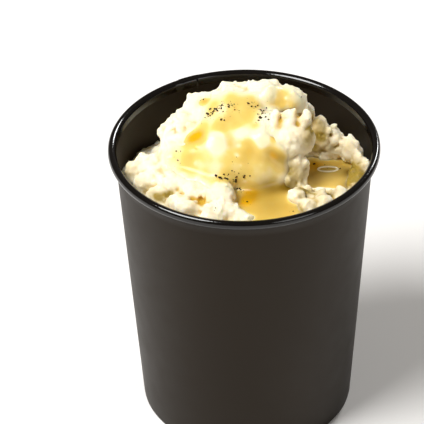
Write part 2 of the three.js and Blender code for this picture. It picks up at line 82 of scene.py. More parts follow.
# The heap's crags: centre x, y, z, half-axes x, y, z, and lean to the right in degrees.
CRAGS = {
    "mound": (-3, 2, 127, 27, 26, 25, 0),
    "front_face": (6.6, -17.5, 132, 13, 12, 13, 0),
    "front_middle": (-9.4, -16.5, 136, 19, 12.5, 11.5, 0),
    "middle_fill": (-2.4, -4.5, 145, 20, 12, 9, 0),
    "left_face": (-24.7, -14.2, 134, 12, 9, 8, 0),
    "left_fill": (-26.5, -4.4, 136, 9.5, 10, 9, 0),
    "front_bed": (8, -38, 121, 26, 16, 7, 0),
    "top_left": (-21.6, 6, 148.5, 4.6, 6, 5.8, 0),
    "top_left_inner": (-18.1, 7.5, 150.5, 5, 5, 4.2, 0),
    "top_left_lower": (-24.6, 1.3, 145.5, 5.5, 6, 5.5, 0),
    "top_left_saddle": (-15.6, 0.4, 149.6, 4.6, 4.4, 4.2, 0),
    "dome": (-3.4, 4.9, 151.6, 12.4, 12, 7, 0),
    "apex": (10.1, 7, 155.5, 6, 7, 5.6, 0),
    "apex_left": (4.6, 8.6, 154.5, 4.4, 5, 4.6, 0),
    "top_right": (19, 6.7, 152.6, 6, 7, 5.6, 0),
    "top_right_edge": (23.6, 6.5, 150.8, 4, 5, 4.8, 0),
    "shoulder": (-29.9, 2.8, 141, 5.2, 6, 5, 0),
    "shoulder_tip": (-34.5, 2.8, 139.2, 2.2, 3, 1.8, 0),
    "left_tip": (-43.1, -7.8, 133.5, 2.8, 4, 2.8, 0),
    "left_lump": (-38.4, -13.3, 131, 7.5, 8, 7.6, 0),
    "left_wall": (-46.6, -12.5, 128.5, 4.6, 6, 6, 0),
    "left_rim": (-40.7, -24.2, 129.5, 6.5, 6, 5.5, 0),
    "left_broad": (-35.5, -20.5, 129, 10, 9, 7.6, 0),
    "claw_palm": (17.6, -18, 146.8, 5.6, 4.8, 6, 0),
    "claw_palm_right": (24.4, -16, 145.8, 5.4, 4.8, 6.4, 0),
    "claw_palm_middle": (21, -15.5, 147, 6.4, 5, 6, 0),
    "claw_palm_low": (20.1, -19, 143.9, 5.6, 4.4, 4.4, 0),
    "claw_root": (11.6, -13.4, 146.6, 5.5, 5, 5.5, 0),
    "claw_edge": (27.8, -14.5, 146.8, 2.4, 4, 5.4, 0),
    "claw_knife_base": (24.4, -13, 149.3, 5.2, 3.8, 4.8, 0),
    "claw_knife": (25.0, -12, 152.1, 3.8, 3, 4.2, 8),
    "claw_knife_high": (25.9, -11.5, 154.6, 2.5, 2.2, 3.6, 12),
    "claw_knife_tip": (26.8, -11.3, 156.4, 1.4, 1.5, 2.2, 14),
    "claw_finger_base": (18.6, -13, 151.3, 5, 4, 4.4, 0),
    "claw_finger_left": (17.4, -11.5, 154.2, 2.6, 3.2, 4, 0),
    "claw_finger_right": (20.2, -11.5, 155, 2.6, 3.2, 4, 0),
    "claw_thumb_base": (13.2, -12.5, 151.6, 2.8, 3.6, 4, 0),
    "claw_thumb": (13.6, -11.5, 154.4, 2.2, 2.8, 3.4, 0),
    "right_wall": (22.6, -18.2, 136, 4.4, 4.8, 4.8, 0),
    "right_wall_middle": (21.6, -19.8, 131.4, 4.6, 5, 4.8, 0),
    "knob_high": (22.4, -22.4, 138.6, 2.4, 2.2, 2.4, 0),
    "knob_right": (24.2, -20.4, 134.6, 2.4, 2.6, 3.4, 0),
    "knob_middle": (21.4, -23.4, 134.4, 2.4, 2.0, 2.2, 0),
    "knob_low": (22.4, -23.0, 131.4, 2.6, 2.4, 2.6, 0),
    "right_foot": (17.6, -24, 131, 5, 5, 5, 0),
    "wall_left": (18.4, -20.6, 138, 3.4, 3, 4.4, 0),
    "side_saddle": (23.4, -26.4, 124.6, 5, 5, 4.4, 0),
    "ridge_top": (27.6, 12.8, 140.6, 3, 5, 5, 0),
    "ridge_middle": (32.2, 7.9, 136, 4.8, 6, 4.8, 0),
    "ridge_tip": (38.2, 7.6, 133.4, 3, 5, 2.2, 0),
    "ridge_base": (33.7, 9.4, 127, 9, 7, 8, 0),
    "ridge_slope": (31, 5.4, 129.5, 5.6, 5.6, 8, 0),
    "ridge_pebble": (33.4, 4, 128.2, 3.4, 3, 3.6, 0),
    "ridge_fill": (36, 5.4, 127.4, 4.8, 4.6, 6.6, 0),
    "ridge_bank": (40, 3.6, 128, 5.5, 4.6, 6, 0),
    "ridge_knob_high": (31.5, 5, 139.5, 2.4, 2.2, 2.2, 0),
    "ridge_knob_right": (34.2, 4.0, 136.6, 2, 2.2, 2.2, 0),
    "ridge_knob_left": (31.5, 1.6, 132.5, 2.2, 2.2, 2.6, 0),
    "ridge_knob_middle": (34.6, 0.6, 131.6, 3, 2.6, 2.8, 0),
    "ridge_knob_low": (31, 0.6, 128, 2.4, 2.2, 2.4, 0),
    "ridge_knob_end": (38.4, 0.6, 128.6, 2.4, 2.4, 2.6, 0),
    "ridge_knob_pool": (35, -0.6, 126.4, 2.4, 2.2, 1.8, 0),
    "rear_right": (45, 0.6, 129.6, 5.2, 6.5, 5.2, 0),
    "rear_right_side": (48, -4.3, 129.5, 3.2, 5, 4.6, 0),
    "right_end": (50, -10.3, 128.6, 3.4, 6, 4, 0),
    "right_low": (49, -11, 125.6, 5, 10, 6.2, 0),
    "right_slope": (47.5, -20, 124.4, 4.4, 7, 4.4, 0),
    "front_left_bed": (-25, -33, 125.5, 19, 14, 7, 0),
    "front_right_bed": (33.4, -33.6, 123.2, 14, 12, 7, 0),
    "front_white": (-10.7, -38, 131.6, 6.6, 6.4, 7, 0),
    "front_saddle": (-11, -32.4, 132.4, 6, 6, 4.6, 0),
    "front_white_low": (-11.6, -44.6, 130.6, 7.2, 4.8, 5, 0),
    "front_collar": (-11, -47, 128.6, 9, 4.6, 4.8, 0),
    "front_rim_lump": (-3.4, -47, 129.4, 4.4, 4, 4, 0),
    "front_rim_low": (0.4, -50.5, 129.4, 4, 3, 3.6, 0),
    "front_left": (-20.7, -31, 133, 6.5, 6, 4.6, 0),
    "front_left_outer": (-30.4, -27.2, 132, 6.5, 6, 5, 0),
    "front_left_fill": (-20.7, -27, 133, 12, 5, 4.6, 0),
    "front_left_rim": (-28.2, -38, 131, 6.5, 4.5, 3.6, 0),
    "front_left_gap": (-19.5, -42, 128, 6, 5.5, 4.4, 0),
    "front_left_end": (-36, -33.3, 130.5, 4.4, 4.5, 3.6, 0),
    "front_left_foot": (-25.4, -43, 131.2, 4.6, 4.2, 3.6, 0),
    "front_point": (21.6, -36, 130.4, 4, 5, 5, -8),
    "front_right": (25.4, -42, 129.6, 4.6, 4.5, 4, 0),
    "front_right_middle": (31.2, -35.4, 129.4, 5, 4.2, 4, 0),
    "front_right_rim": (33, -39.4, 130, 6, 4.4, 4, 0),
    "front_right_end": (39, -33.2, 128.8, 5.2, 4.6, 4, 0),
    "pebble": (26.2, -31, 129.2, 3, 3, 3, 0),
    "small_pebble": (26.4, -36.8, 131, 2.1, 2, 1.9, 0),
    "back_left": (-14, 16.6, 139, 10, 8, 9, 0),
    "back_middle": (2, 18, 141, 10, 8, 9, 0),
    "back_right": (17, 15.6, 138.5, 9, 8, 9, 0),
    "back_left_low": (-24, 15, 129, 10, 10, 13, 0),
    "back_middle_low": (-6, 24, 125, 13, 10, 13, 0),
    "back_right_low": (14, 23, 124, 12, 10, 13, 0),
    "bed_left": (-33, 22, 113, 9, 8, 6, 0),
    "bed_back": (-14, 41, 107, 10, 7, 6, 0),
    "bed_back_right": (25, 36, 109, 9, 8, 6, 0),
    "bed_right": (42, 18, 113, 8, 9, 6, 0),
}

# Small lumps that stand out of the gravy, in the same terms.
LUMPS = [
    (-11.0, -17.4, 144.8, 5.2, 4.6, 6.4, 8),
    (-0.4, -15.0, 146.8, 4.2, 3.8, 3.8, 0),
    (7.6, -16.6, 146.2, 4.0, 4.0, 6.0, 0),
    (10.2, -9.0, 151.4, 3.8, 3.6, 3.2, 0),
]

# Where gravy was poured over the heap: x, y, z on its surface, radius.
POURED = [
    (-12, -3, 155, 6.0),
    (-5, -3, 157, 7.0),
    (2, -3, 156.5, 6.5),
    (-7, -8, 154, 6.0),
    (1, -8, 154, 6.0),
    (7, -8, 153, 4.0),
    (12, 1.5, 157.5, 4.5),
    (17, 2, 156, 6.0),
    (21, 1, 153.5, 4.0),
    (22, 0, 152.5, 3.5),
    (-16.5, 3.5, 153.5, 2.0),
    (-16, -9, 150.5, 4.0),
    (-10, -12, 151, 6.0),
    (-3, -12, 152, 5.5),
    (-20, -13, 146, 4.5),
    (-16, -18, 147.5, 5.0),
    (-8, -19, 148, 6.5),
    (0, -18, 148.5, 6.0),
    (5, -13, 151, 4.0),
    (7, -19.5, 147, 5.0),
    (12, -21, 143, 5.0),
    (-29, -18, 140.5, 4.5),
    (-24, -23, 142, 6.5),
    (-16, -25, 145, 7.0),
    (-8, -26, 146, 7.5),
    (0, -26, 146, 7.5),
    (8, -26, 145.5, 7.0),
    (14, -24, 143, 4.5),
    (-22, -27, 141, 5.0),
    (-15, -29, 141.5, 6.0),
    (-7, -30.5, 141, 6.5),
    (1, -31, 141, 7.0),
    (9, -31, 141, 7.0),
    (14, -27, 141, 4.0),
    (-10, -32, 138, 5.5),
    (-2, -32, 137, 5.5),
    (5, -32, 136, 6.5),
    (12, -29, 136.5, 5.5),
    (14, -24, 138, 4.0),
    (2, -31, 132, 6.0),
    (10, -30, 132, 6.0),
]

THICKNESS = 0.11  # of the gravy's layer for each millimetre of radius above, once the hollows are filled
FILM = 0.14  # thickness of the film that stays on what stands out of the gravy
EDGE_RISE = 1.5  # how far in from its edge the gravy gets most of its thickness
POUR_REACH, POUR_SWELL, POUR_FILLET = 6, 0.8, 2.0  # how far a pour is felt, exceeds its radius, and is filleted

# Where the gravy stands deep and shows amber, and where it is made deeper as painted shade (the pool's back corner,
# the side pool under the claw, the face's right): x, y, z, radius, strength.
DEEP_AND_SHADE = [
    # the left hollow, and its run to the right
    (-20.5, -13.5, 145.5, 5.5, 0.95),
    (-18, -12, 148.5, 3.5, 0.3),
    (-16.5, -18.5, 148.5, 3.5, 0.3),
    # two bands down the face
    (3.5, -20.5, 147, 4, 0.35),
    (3.5, -22, 145, 4, 0.2),
    (9, -22, 146, 4, 0.2),
    (11.5, -22, 144, 4, 0.25),
    (14, -22, 142, 4, 0.25),
    # the pool's back corner: deep gravy at the face's foot, with painted shade from the face above
    (3.5, -32, 131.5, 3.5, 0.3),
    (1.5, -35, 131, 4.5, 0.35),
    (0, -38.5, 131, 4, 0.25),
    # the side pool: painted shade, deeper in the claw's shadow and paler at the front
    (29, -5, 125.5, 5, 0.45),
    (38, -15, 125.5, 8, -0.12),
    # the top
    (-6, -9, 155, 6, 0.12),
    (-16.5, 3.5, 153.5, 3, 0.6),
    (20, 0.5, 153.5, 4, 0.2),
    # the right of the face, a little painted shade on the side away from the light
    (15, -24, 139.5, 5, 0.1),
    (7, -26, 141.5, 6, 0.05),
    # thin over the lumps
    (-11, -21.5, 147, 6, -0.6),
    (-0.5, -17, 150, 4, -0.35),
    (7.5, -20, 147.5, 4.5, -0.6),
    (10, -10.5, 153.5, 4, -0.2),
    (-25, -22.5, 141.5, 4.5, -0.1),
    (-19, -25.5, 142.5, 4, -0.15),
    (-12.5, -29.5, 140.5, 4, -0.25),
    # and a little deeper at the left of the face
    (-22, -20, 144, 7, 0.22),
]

# Where it has run down between the claw's fingers and beside them, in the same terms, over gravy and mash alike.
VALLEYS = [
    (22.5, -11.5, 157.5, 2, 1.3),
    (23, -12, 155.5, 2.2, 1.3),
    (22.5, -14.5, 153.5, 2.2, 0.8),
    (15.5, -12.5, 157.5, 1.6, 1.6),
    (15.5, -13.5, 155, 1.8, 1.8),
    (15, -15, 153, 2, 1.8),
    (13.5, -16.5, 151, 2.4, 0.7),
    (12.5, -18.5, 149, 2.6, 0.6),
]

# Where butter has soaked into bare mash, with painted shade on the claw's right, the right wall and the front
# right: x, y, z, radius, strength.
STAINS_AND_SHADE = [
    # the claw palm's right side, away from the light: butter with painted shade
    (27.5, -18, 149, 5, 1.2),
    # top and left
    (-17, 4, 153, 2.4, 1.3),
    (-20, -7, 148, 3.5, 0.5),
    (-22.5, -5.5, 148, 3, 0.4),
    (-24.5, -6, 146.5, 3.5, 0.3),
    (-10.5, -42, 136, 7, 0.25),
    # creases at the front left
    (-35.5, -36.5, 133, 3, 0.7),
    (-31, -36, 133.5, 3, 0.6),
    (-23, -40, 133.5, 3.5, 0.3),
    (-19.5, -41, 133, 4.5, 0.35),
    (-16, -38.5, 134.5, 2.5, 0.6),
    (-19.5, -45, 133, 4, 0.3),
    (-22, -47, 132.5, 2.5, 0.5),
    # right
    (23.5, -44, 132.5, 2.6, 0.7),
    (45.5, -12.5, 127, 6, 0.6),
    (45.5, -20, 127.5, 5, 0.6),
    (33.5, 3, 134, 3.5, 1.5),
    (30, 1, 131, 4, 0.9),
    (30, 7, 141, 4, 0.5),
    (32, 4, 136, 7, 0.6),
    (46, -2, 133, 6, 0.25),
    # painted shade on the right wall under the claw and on the front right; then butter on the ridge
    (21, -22.5, 135, 5, 0.6),
    (31, -38, 133, 8, 0.35),
    (29.5, 3, 138, 5, 0.6),
]

# Painted shade, with some brown juice: where gravy and mash are darkened towards brown, in the claw's shadow, under
# the face's foot, at the front right and along the left wall: x, y, z, radius, strength.
SHADE = [
    # the side pool, dark at the back and under the claw
    (28.5, -4, 125.5, 6, 0.4),
    (27.5, -13, 125.5, 5, 0.5),
    (43.5, -14, 125.5, 3, 0.2),
    # the slope beside it
    (44.5, -10.5, 126.5, 4, 0.9),
    (46, -10, 129, 4, 0.6),
    (46.5, -17.5, 128.5, 4.5, 1.1),
    (48, -15.5, 130, 4.5, 0.7),
    (49, -19, 128.5, 3.5, 0.7),
    (44.5, -20.5, 127.5, 4.5, 1.2),
    (44.5, -5, 132, 5, 0.3),
    (49, -12, 131, 5, 0.35),
    (42, 0, 133, 7, 0.2),
    # the ridge
    (29.5, 8, 141.5, 4.5, 0.15),
    (32, 6, 140.5, 4.5, 0.45),
    (34.5, 4, 138.5, 4, 0.35),
    (32, 2, 137, 3.5, 0.6),
    (34, 1.5, 134.5, 2.6, 1.2),
    (31, 1, 130, 3.5, 0.7),
    (35, 1.5, 131, 3.5, 0.2),
    (37, 0.5, 129.5, 3.5, 0.5),
    (39.5, -0.5, 129, 3.5, 0.3),
    # the right of the claw, and the wall under it
    (28.5, -14, 151, 3, 1.4),
    (27, -19, 149.5, 4, 0.4),
    (25.5, -20.5, 146.5, 3.5, 0.4),
    (20, -18, 150, 9, 0.1),
    (21.5, -22, 137.5, 6, 0.4),
    (25, -22, 135.5, 4, 0.3),
    (19, -24, 136, 4, 0.5),
    (22.5, -25.5, 132.5, 5, 0.5),
    (19, -28, 131.5, 4.5, 0.6),
    # the face's foot and the front pool
    (16, -22, 140.5, 3.5, 0.4),
    (-1, -30, 132.5, 4, 0.15),
    (8.5, -30.5, 132, 5, 0.4),
    (13, -30, 131.5, 4.5, 0.5),
    (17, -29, 131.5, 4, 0.5),
    (2.5, -34, 131, 5, 0.5),
    (10, -35, 131, 8, 0.25),
    (12, -42, 131, 9, 0.25),
    # pebbles, and the crease at the front right
    (26, -34.5, 133.5, 3.4, 1.4),
    (23, -35, 135.5, 2.2, 1.0),
    (28.5, -31.5, 132, 4, 0.4),
    (23, -39, 134, 1.7, 0.9),
    (22.5, -42, 131.5, 1.8, 0.9),
    (23.5, -45, 131.5, 2, 0.9),
    (28, -44.5, 133, 2.6, 0.5),
    (30.5, -39, 134, 5, 0.3),
    (34, -33.5, 132.5, 4.5, 0.7),
    (38, -32, 131.5, 4, 0.5),
    (31, -43.5, 133, 4, 0.25),
    # creases at the front left, and along the left wall
    (-37, -35.5, 132.5, 2.2, 1.1),
    (-35.5, -37, 132, 2.2, 0.9),
    (-33, -35.5, 133.5, 2.3, 1.0),
    (-30.5, -33.5, 133, 2.3, 0.8),
    (-39, -33.5, 132.5, 2.6, 0.6),
    (-33, -39.5, 132, 4, 0.3),
    (-21, -46.5, 132.5, 3, 0.3),
    (-42, -29.5, 131.5, 4, 0.7),
    (-44.5, -26.5, 133, 3.5, 0.4),
    (-47.5, -16.5, 130.5, 4, 0.5),
    (-50, -14, 130, 4, 0.6),
]

# Pools: x, y, radius, level.
FRONT_POOL = (10.0, -41.0, 15.0, 130.6)
SIDE_POOL = (36.0, -10.8, 13.5, 125.6)
SIDE_POOL_WEST = 26.0  # the side pool ends here
POOL_EDGE, POOL_LIMIT, POOL_FLAT = 1.1, 1.15, 0.75  # of its radius: where a pool thins out, ends, starts to fall
POOL_FALL, POOL_FILLET = 0.035, 3.6
NO_GRAVY = 4.0  # a distance that stands for no gravy near
GRAVY_DEPTH = 1.2  # the gravy's solid goes this deep into the mash

# A raised glossy ring of fat on the side pool, pale so that it shows as a bright ring, a painted highlight: centre
# x and y, half its length and width, thickness.
HIGHLIGHT_RING = (35.8, -8.2, 4.2, 1.8, 1.0)

# The bigger grains of pepper, seen from above: x, y, size.
PEPPER = [
    (-14, -3, 1.3),
    (-9.5, -9, 1.3),
    (2, -2.5, 1.1),
    (8.5, -4.5, 1.1),
    (10.5, -12, 1.1),
    (7, -10, 0.9),
    (-10.5, -31, 1.3),
    (-17, 5, 0.9),
    (24.5, 4, 0.7),
    (16, -1, 0.7),
    (1, -38, 0.8),
    (-12, -47, 0.6),
    (20, -45, 0.8),
    (25.5, -38, 0.9),
    (-28.5, -17, 0.8),
    (30, -4.2, 1.3),
    (34.5, -5, 0.6),
    (41, -8, 1.0),
]

# And where it fell together: x, y, spread along x and y, number of grains.
PEPPER_CLUSTERS = [
    (-13.5, -4.6, 1.6, 0.5, 14),
    (-9.5, -4.2, 2.2, 0.5, 10),
    (-7, -6.5, 1.8, 1.4, 6),
    (7, -6, 3.2, 3.0, 14),
    (-8.5, -31, 1.4, 0.5, 7),
    (-3, -29.8, 2.8, 0.5, 16),
    (-26, -19, 1.5, 1.0, 2),
]
CLUSTER_SIZE, DUST_SIZE, DUST_SPREAD = (0.6, 1.2), (0.18, 0.4), 1.6

# The lattice that the food is shaped on, and the top of the plain filling under it.
LATTICE_LOW, LATTICE_HIGH = (-56, -56, 99), (56, 56, 164)
FILL_TOP = 99.9
MASH_SEED, PEPPER_SEED = 20, 8

# Unevenness: how far apart its soft bumps are, and how far it shifts the crags along x, y and z.
WARP_SPACING, BULK_WARP, SMALL_WARP = 8.0, (1.0, 1.0, 0.8), (0.4, 0.5, 0.4)
FINE_SPACING, FINE_WARP = 3.0, 0.3
PUFFS = ((5.0, 0.45), (2.4, 0.4))  # spacing and height
WAVES = ((4.0, 0.18), (1.5, 0.18))
PUFF_MEAN = 0.8
INSET = 0.5  # leaves room for the crumbs

# The mash is rougher behind, and at the right where it is low or far back: where that starts, and over how much.
ROUGH_BEHIND, ROUGH_RIGHT, ROUGH_LOW, ROUGH_BACK = (1, 9), (19, 8), (143, -3), (-6, 5)

BULK_BLEND, BULK_REACH, CRAG_REACH = 1.2, 9, 5
BED_UPRIGHT = 0.98  # the cosine of the bed's slope
FILLET_SHARP, FILLET, FILLET_LUMP = 1.3, 2.8, 4.5
EXPONENTS = (-60, 20)  # distances beyond these count no further

# Crumbs: none under this height; least size and how much more, out-of-round, how far sunk, reach and fillet.
CRUMB_FLOOR = 103
CRUMB_LEAST, CRUMB_MORE, CRUMB_FORM = 0.55, 0.6, (0.65, 1.4)
CRUMB_SUNK, CRUMB_REACH, CRUMB_FILLET = 0.45, 3.0, 0.7
BIG_CRUMBS, BIG_CRUMB = 20, 1.5  # one in so many is so much bigger

# Creases, tinted a darker yellow as butter and as painted shade in the hollows: the width of the hollows, and how
# strongly they show.
CREASES = ((1.2, 1.3), (3.4, 0.55))
WET_REACH = 2.2  # how far from the gravy the mash is wet
DEPTH_SCALE = 0.7  # depth of gravy at which its colour hardly deepens further

# The cup's roundings and its steps round and up.
LIP = 0.15  # rounding of the folded foot
WALL_ROWS, ROLL_STEPS, TURN_STEPS = 26, 32, 288
ROLL_FROM, ROLL_SWEEP = -105, 285  # degrees, from the wall's outer face over the top to its inner one
AXIS = 0.01  # a lathed face ends this near its axis
RING_SIDES, RING_STEPS = 10, 96

# The camera, in metres: lens and sensor in millimetres, place, direction, and roll in radians.
LENS, SENSOR = 194.51, 36.0
EYE, FORWARD, ROLL = (0.000064, -0.80774, 0.69439), (-0.0144, 0.8042, -0.5942), -0.0236
AIM = (0, -0.005, 0.14)  # what the lights point at
FLOOR_HALF, FLOOR_DROP = 4.0, 0.0002

# ---------------------------------------------------------------- distances on a lattice


class Lattice:
    """Evenly spaced points, at which the distance to a surface is kept: negative inside it."""

    def __init__(self, low, high, pitch):
        self.pitch = pitch
        self.low = np.array(low, np.float32)
        self.axes = [np.arange(a, b + pitch / 2, pitch, dtype=np.float32) for a, b in zip(low, high)]
        self.shape = tuple(len(axis) for axis in self.axes)
        self.x, self.y, self.z = np.meshgrid(*self.axes, indexing="ij", sparse=True)

    def window(self, centre, reach):
        """The slices that hold the points within reach of a centre."""
        cut = []
        for axis, middle, far in zip(self.axes, centre, reach):
            first = max(int(math.floor((middle - far - axis[0]) / self.pitch)), 0)
            last = min(int(math.ceil((middle + far - axis[0]) / self.pitch)) + 1, len(axis))
            cut.append(slice(first, max(last, first)))
        return tuple(cut)

    def blurred(self, field, sigma):
        """A Gaussian blur by one banded matrix along each axis."""
        for axis, count in enumerate(self.shape):
            steps = np.arange(count, dtype=np.float32) * self.pitch
            matrix = np.exp(-0.5 * ((steps[:, None] - steps[None, :]) / sigma) ** 2)
            matrix /= matrix.sum(axis=1, keepdims=True)
            field = np.moveaxis(np.tensordot(matrix, field, axes=(1, axis)), 0, axis)
        return np.ascontiguousarray(field)

    def noise(self, spacing, rng):
        """Soft seeded unevenness with a mean of 0 and a spread of 1, from cubic splines through random knots."""
        matrices = []
        for axis in self.axes:
            at = (axis - axis[0]) / spacing + 1 + rng.random()
            first = np.floor(at).astype(int)
            t = at - first
            matrix = np.zeros((len(axis), first[-1] + 4), np.float32)
            rows = np.arange(len(axis))
            parts = ((1 - t) ** 3, 3 * t**3 - 6 * t**2 + 4, -3 * t**3 + 3 * t**2 + 3 * t + 1, t**3)
            for step, part in enumerate(parts):
                matrix[rows, first - 1 + step] += part / 6
            matrices.append(matrix)
        knots = rng.standard_normal([m.shape[1] for m in matrices]).astype(np.float32)
        for axis, matrix in enumerate(matrices):
            knots = np.moveaxis(np.tensordot(matrix, knots, axes=(1, axis)), 0, axis)
        knots -= knots.mean()
        return np.ascontiguousarray(knots / knots.std())

    def sample(self, field, points):
        """Values between the lattice's points."""
        at = np.clip((points - self.low) / self.pitch, 0, np.array(self.shape) - 1.001)
        first = at.astype(int)
        t = at - first
        total = np.zeros(len(points))
        for corner in itertools.product((0, 1), repeat=3):
            share = np.prod([t[:, i] if c else 1 - t[:, i] for i, c in enumerate(corner)], axis=0)
            total += share * field[tuple((first + corner).T)]
        return total

    def skin(self, field):
        """A closed mesh at distance zero: a vertex in each crossed cell, a quad round each crossed step."""
        field = field.copy()
        for axis in range(3):
            for side in (0, -1):
                border = [slice(None)] * 3
                border[axis] = side
                field[tuple(border)] = np.maximum(field[tuple(border)], self.pitch * 0.5)
        inside = field < 0
        cell_shape = tuple(n - 1 for n in self.shape)
        count = np.zeros(cell_shape, np.int8)
        for corner in itertools.product((0, 1), repeat=3):
            count += inside[tuple(slice(c, c + n) for c, n in zip(corner, cell_shape))]
        mixed = (count > 0) & (count < 8)
        cells = np.argwhere(mixed)
        number = np.full(cell_shape, -1, np.int32)
        number[mixed] = np.arange(len(cells))
        total = np.zeros((len(cells), 3))
        hits = np.zeros(len(cells))
        for axis in range(3):
            along = np.eye(3, dtype=int)[axis]
            for pair in itertools.product((0, 1), repeat=2):
                start = np.insert(np.array(pair), axis, 0)
                a = field[tuple((cells + start).T)]
                b = field[tuple((cells + start + along).T)]
                crossed = (a < 0) != (b < 0)
                t = np.where(crossed, a / np.where(crossed, a - b, 1), 0)
                total += crossed[:, None] * (start + t[:, None] * along)
                hits += crossed
        points = self.low + self.pitch * (cells + total / hits[:, None])
        quads = []
        for axis in range(3):
            u, v = np.eye(3, dtype=int)[(axis + 1) % 3], np.eye(3, dtype=int)[(axis + 2) % 3]
            near, far = [slice(1, -1)] * 3, [slice(1, -1)] * 3
            near[axis], far[axis] = slice(0, -1), slice(1, None)
            a, b = inside[tuple(near)], inside[tuple(far)]
            at = np.argwhere(a != b)
            leaving = a[tuple(at.T)]
            shift = np.ones(3, int)
            shift[axis] = 0
            at = at + shift
            four = np.stack([number[tuple(c.T)] for c in (at - u - v, at - v, at, at - u)], axis=1)
            quads.append(np.where(leaving[:, None], four, four[:, ::-1]))
        return points, np.concatenate(quads)


def ellipsoid(parts, cut, crag):
    """Distance to an ellipsoid in a window of the lattice, close enough near its surface."""
    cx, cy, cz, rx, ry, rz, lean = crag
    x, y, z = (part[cut] - middle for part, middle in zip(parts, (cx, cy, cz)))
    if lean:
        turn = math.radians(lean)
        x, z = x * math.cos(turn) - z * math.sin(turn), x * math.sin(turn) + z * math.cos(turn)
    near = np.sqrt((x / rx) ** 2 + (y / ry) ** 2 + (z / rz) ** 2)
    slope = np.sqrt((x / rx**2) ** 2 + (y / ry**2) ** 2 + (z / rz**2) ** 2)
    return near * (near - 1) / np.maximum(slope, 1e-6)


def soft_least(a, b, blend):
    """The lesser of two distances, with a fillet where they meet."""
    close = np.maximum(blend - np.abs(a - b), 0)
    return np.minimum(a, b) - close * close / (4 * blend)


def growing(values, start, over):
    """How far values are past a start, as a share of a distance."""
    return (values - start) / over


def around(count):
    """Even angles of a full turn."""
    return np.arange(count) * 2 * math.pi / count


def wall_radius(z):
    """Outer radius of the tapered side wall at a height."""
    top_radius = RIM_RADIUS - ROLL_WIDTH
    return BASE_RADIUS + (top_radius - BASE_RADIUS) * z / (CUP_HEIGHT - ROLL_HEIGHT)


# ---------------------------------------------------------------- meshes


def make_object(name, points, faces, material, node=None, smooth=True):
    """A mesh object from points in millimetres, riding on the part's one body."""
    mesh = bpy.data.meshes.new(name)
    faces = np.asarray(faces)
    sides = faces.shape[1]
    mesh.vertices.add(len(points))
    mesh.vertices.foreach_set("co", (np.asarray(points) * MM).astype(np.float32).ravel())
    mesh.loops.add(faces.size)
    mesh.loops.foreach_set("vertex_index", faces.astype(np.int32).ravel())
    mesh.polygons.add(len(faces))
    mesh.polygons.foreach_set("loop_start", np.arange(0, faces.size, sides, dtype=np.int32))
    mesh.polygons.foreach_set("use_smooth", np.full(len(faces), smooth))
    mesh.update(calc_edges=True)
    mesh.validate()
    mesh.materials.append(material)
    piece = bpy.data.objects.new(name, mesh)
    bpy.context.scene.collection.objects.link(piece)
    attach(piece, "root")
    if node:
        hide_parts(node)
    return piece


def add_values(piece, name, values):
    """A number on each vertex, for the material to read."""
    layer = piece.data.attributes.new(name, "FLOAT", "POINT")
    layer.data.foreach_set("value", np.asarray(values, np.float32))


def lathe(profile, angles, shift=None):
    """A closed profile turned round Z. shift gives how far each profile point moves outwards at an angle."""
    profile = np.array(profile, float)
    rows = []
    for angle in angles:
        radius = profile[:, 0] + (shift(angle) if shift else 0)
        rows.append(np.stack([radius * math.cos(angle), radius * math.sin(angle), profile[:, 1]], axis=1))
    points = np.concatenate(rows)
    n, m = len(angles), len(profile)
    i, j = np.meshgrid(np.arange(n), np.arange(m), indexing="ij")
    i2, j2 = (i + 1) % n, (j + 1) % m
    quads = np.stack([i * m + j, i2 * m + j, i2 * m + j2, i * m + j2], axis=-1).reshape(-1, 4)
    return points, quads


# ---------------------------------------------------------------- materials


def srgb(hex_value):
    """A hex colour as the linear numbers that Blender takes."""
    parts = [(hex_value >> shift & 255) / 255 for shift in (16, 8, 0)]
    return [c / 12.92 if c <= 0.04045 else ((c + 0.055) / 1.055) ** 2.4 for c in parts] + [1.0]


def add_node(tree, kind, settings=None, links=None):
    """Adds a node. Small-letter settings are its options, others its sockets."""
    node = tree.nodes.new(kind)
    for key, value in (settings or {}).items():
        if isinstance(key, str) and key[0].islower():
            setattr(node, key, value)
        else:
            node.inputs[key].default_value = value
    for key, source in (links or {}).items():
        tree.links.new(source, node.inputs[key])
    return node


def spread(points, table):
    """The sum of a table's soft spots at each point."""
    total = np.zeros(len(points))
    for x, y, z, radius, strength in table:
        away = np.linalg.norm(points - (x, y, z), axis=1) / radius
        total += strength * np.exp(-1.5 * away**2)
    return total


def per_metre(size_mm):
    """A texture's scale for one feature in so many millimetres."""
    return 1000.0 / size_mm


def new_material(name):
    """A material, its nodes and its surface shader."""
    material = bpy.data.materials.new(name)
    material.use_nodes = True
    tree = material.node_tree
    tree.nodes.clear()
    shader = add_node(tree, "ShaderNodeBsdfPrincipled")
    add_node(tree, "ShaderNodeOutputMaterial", {}, {"Surface": shader.outputs["BSDF"]})
    return material, tree, shader


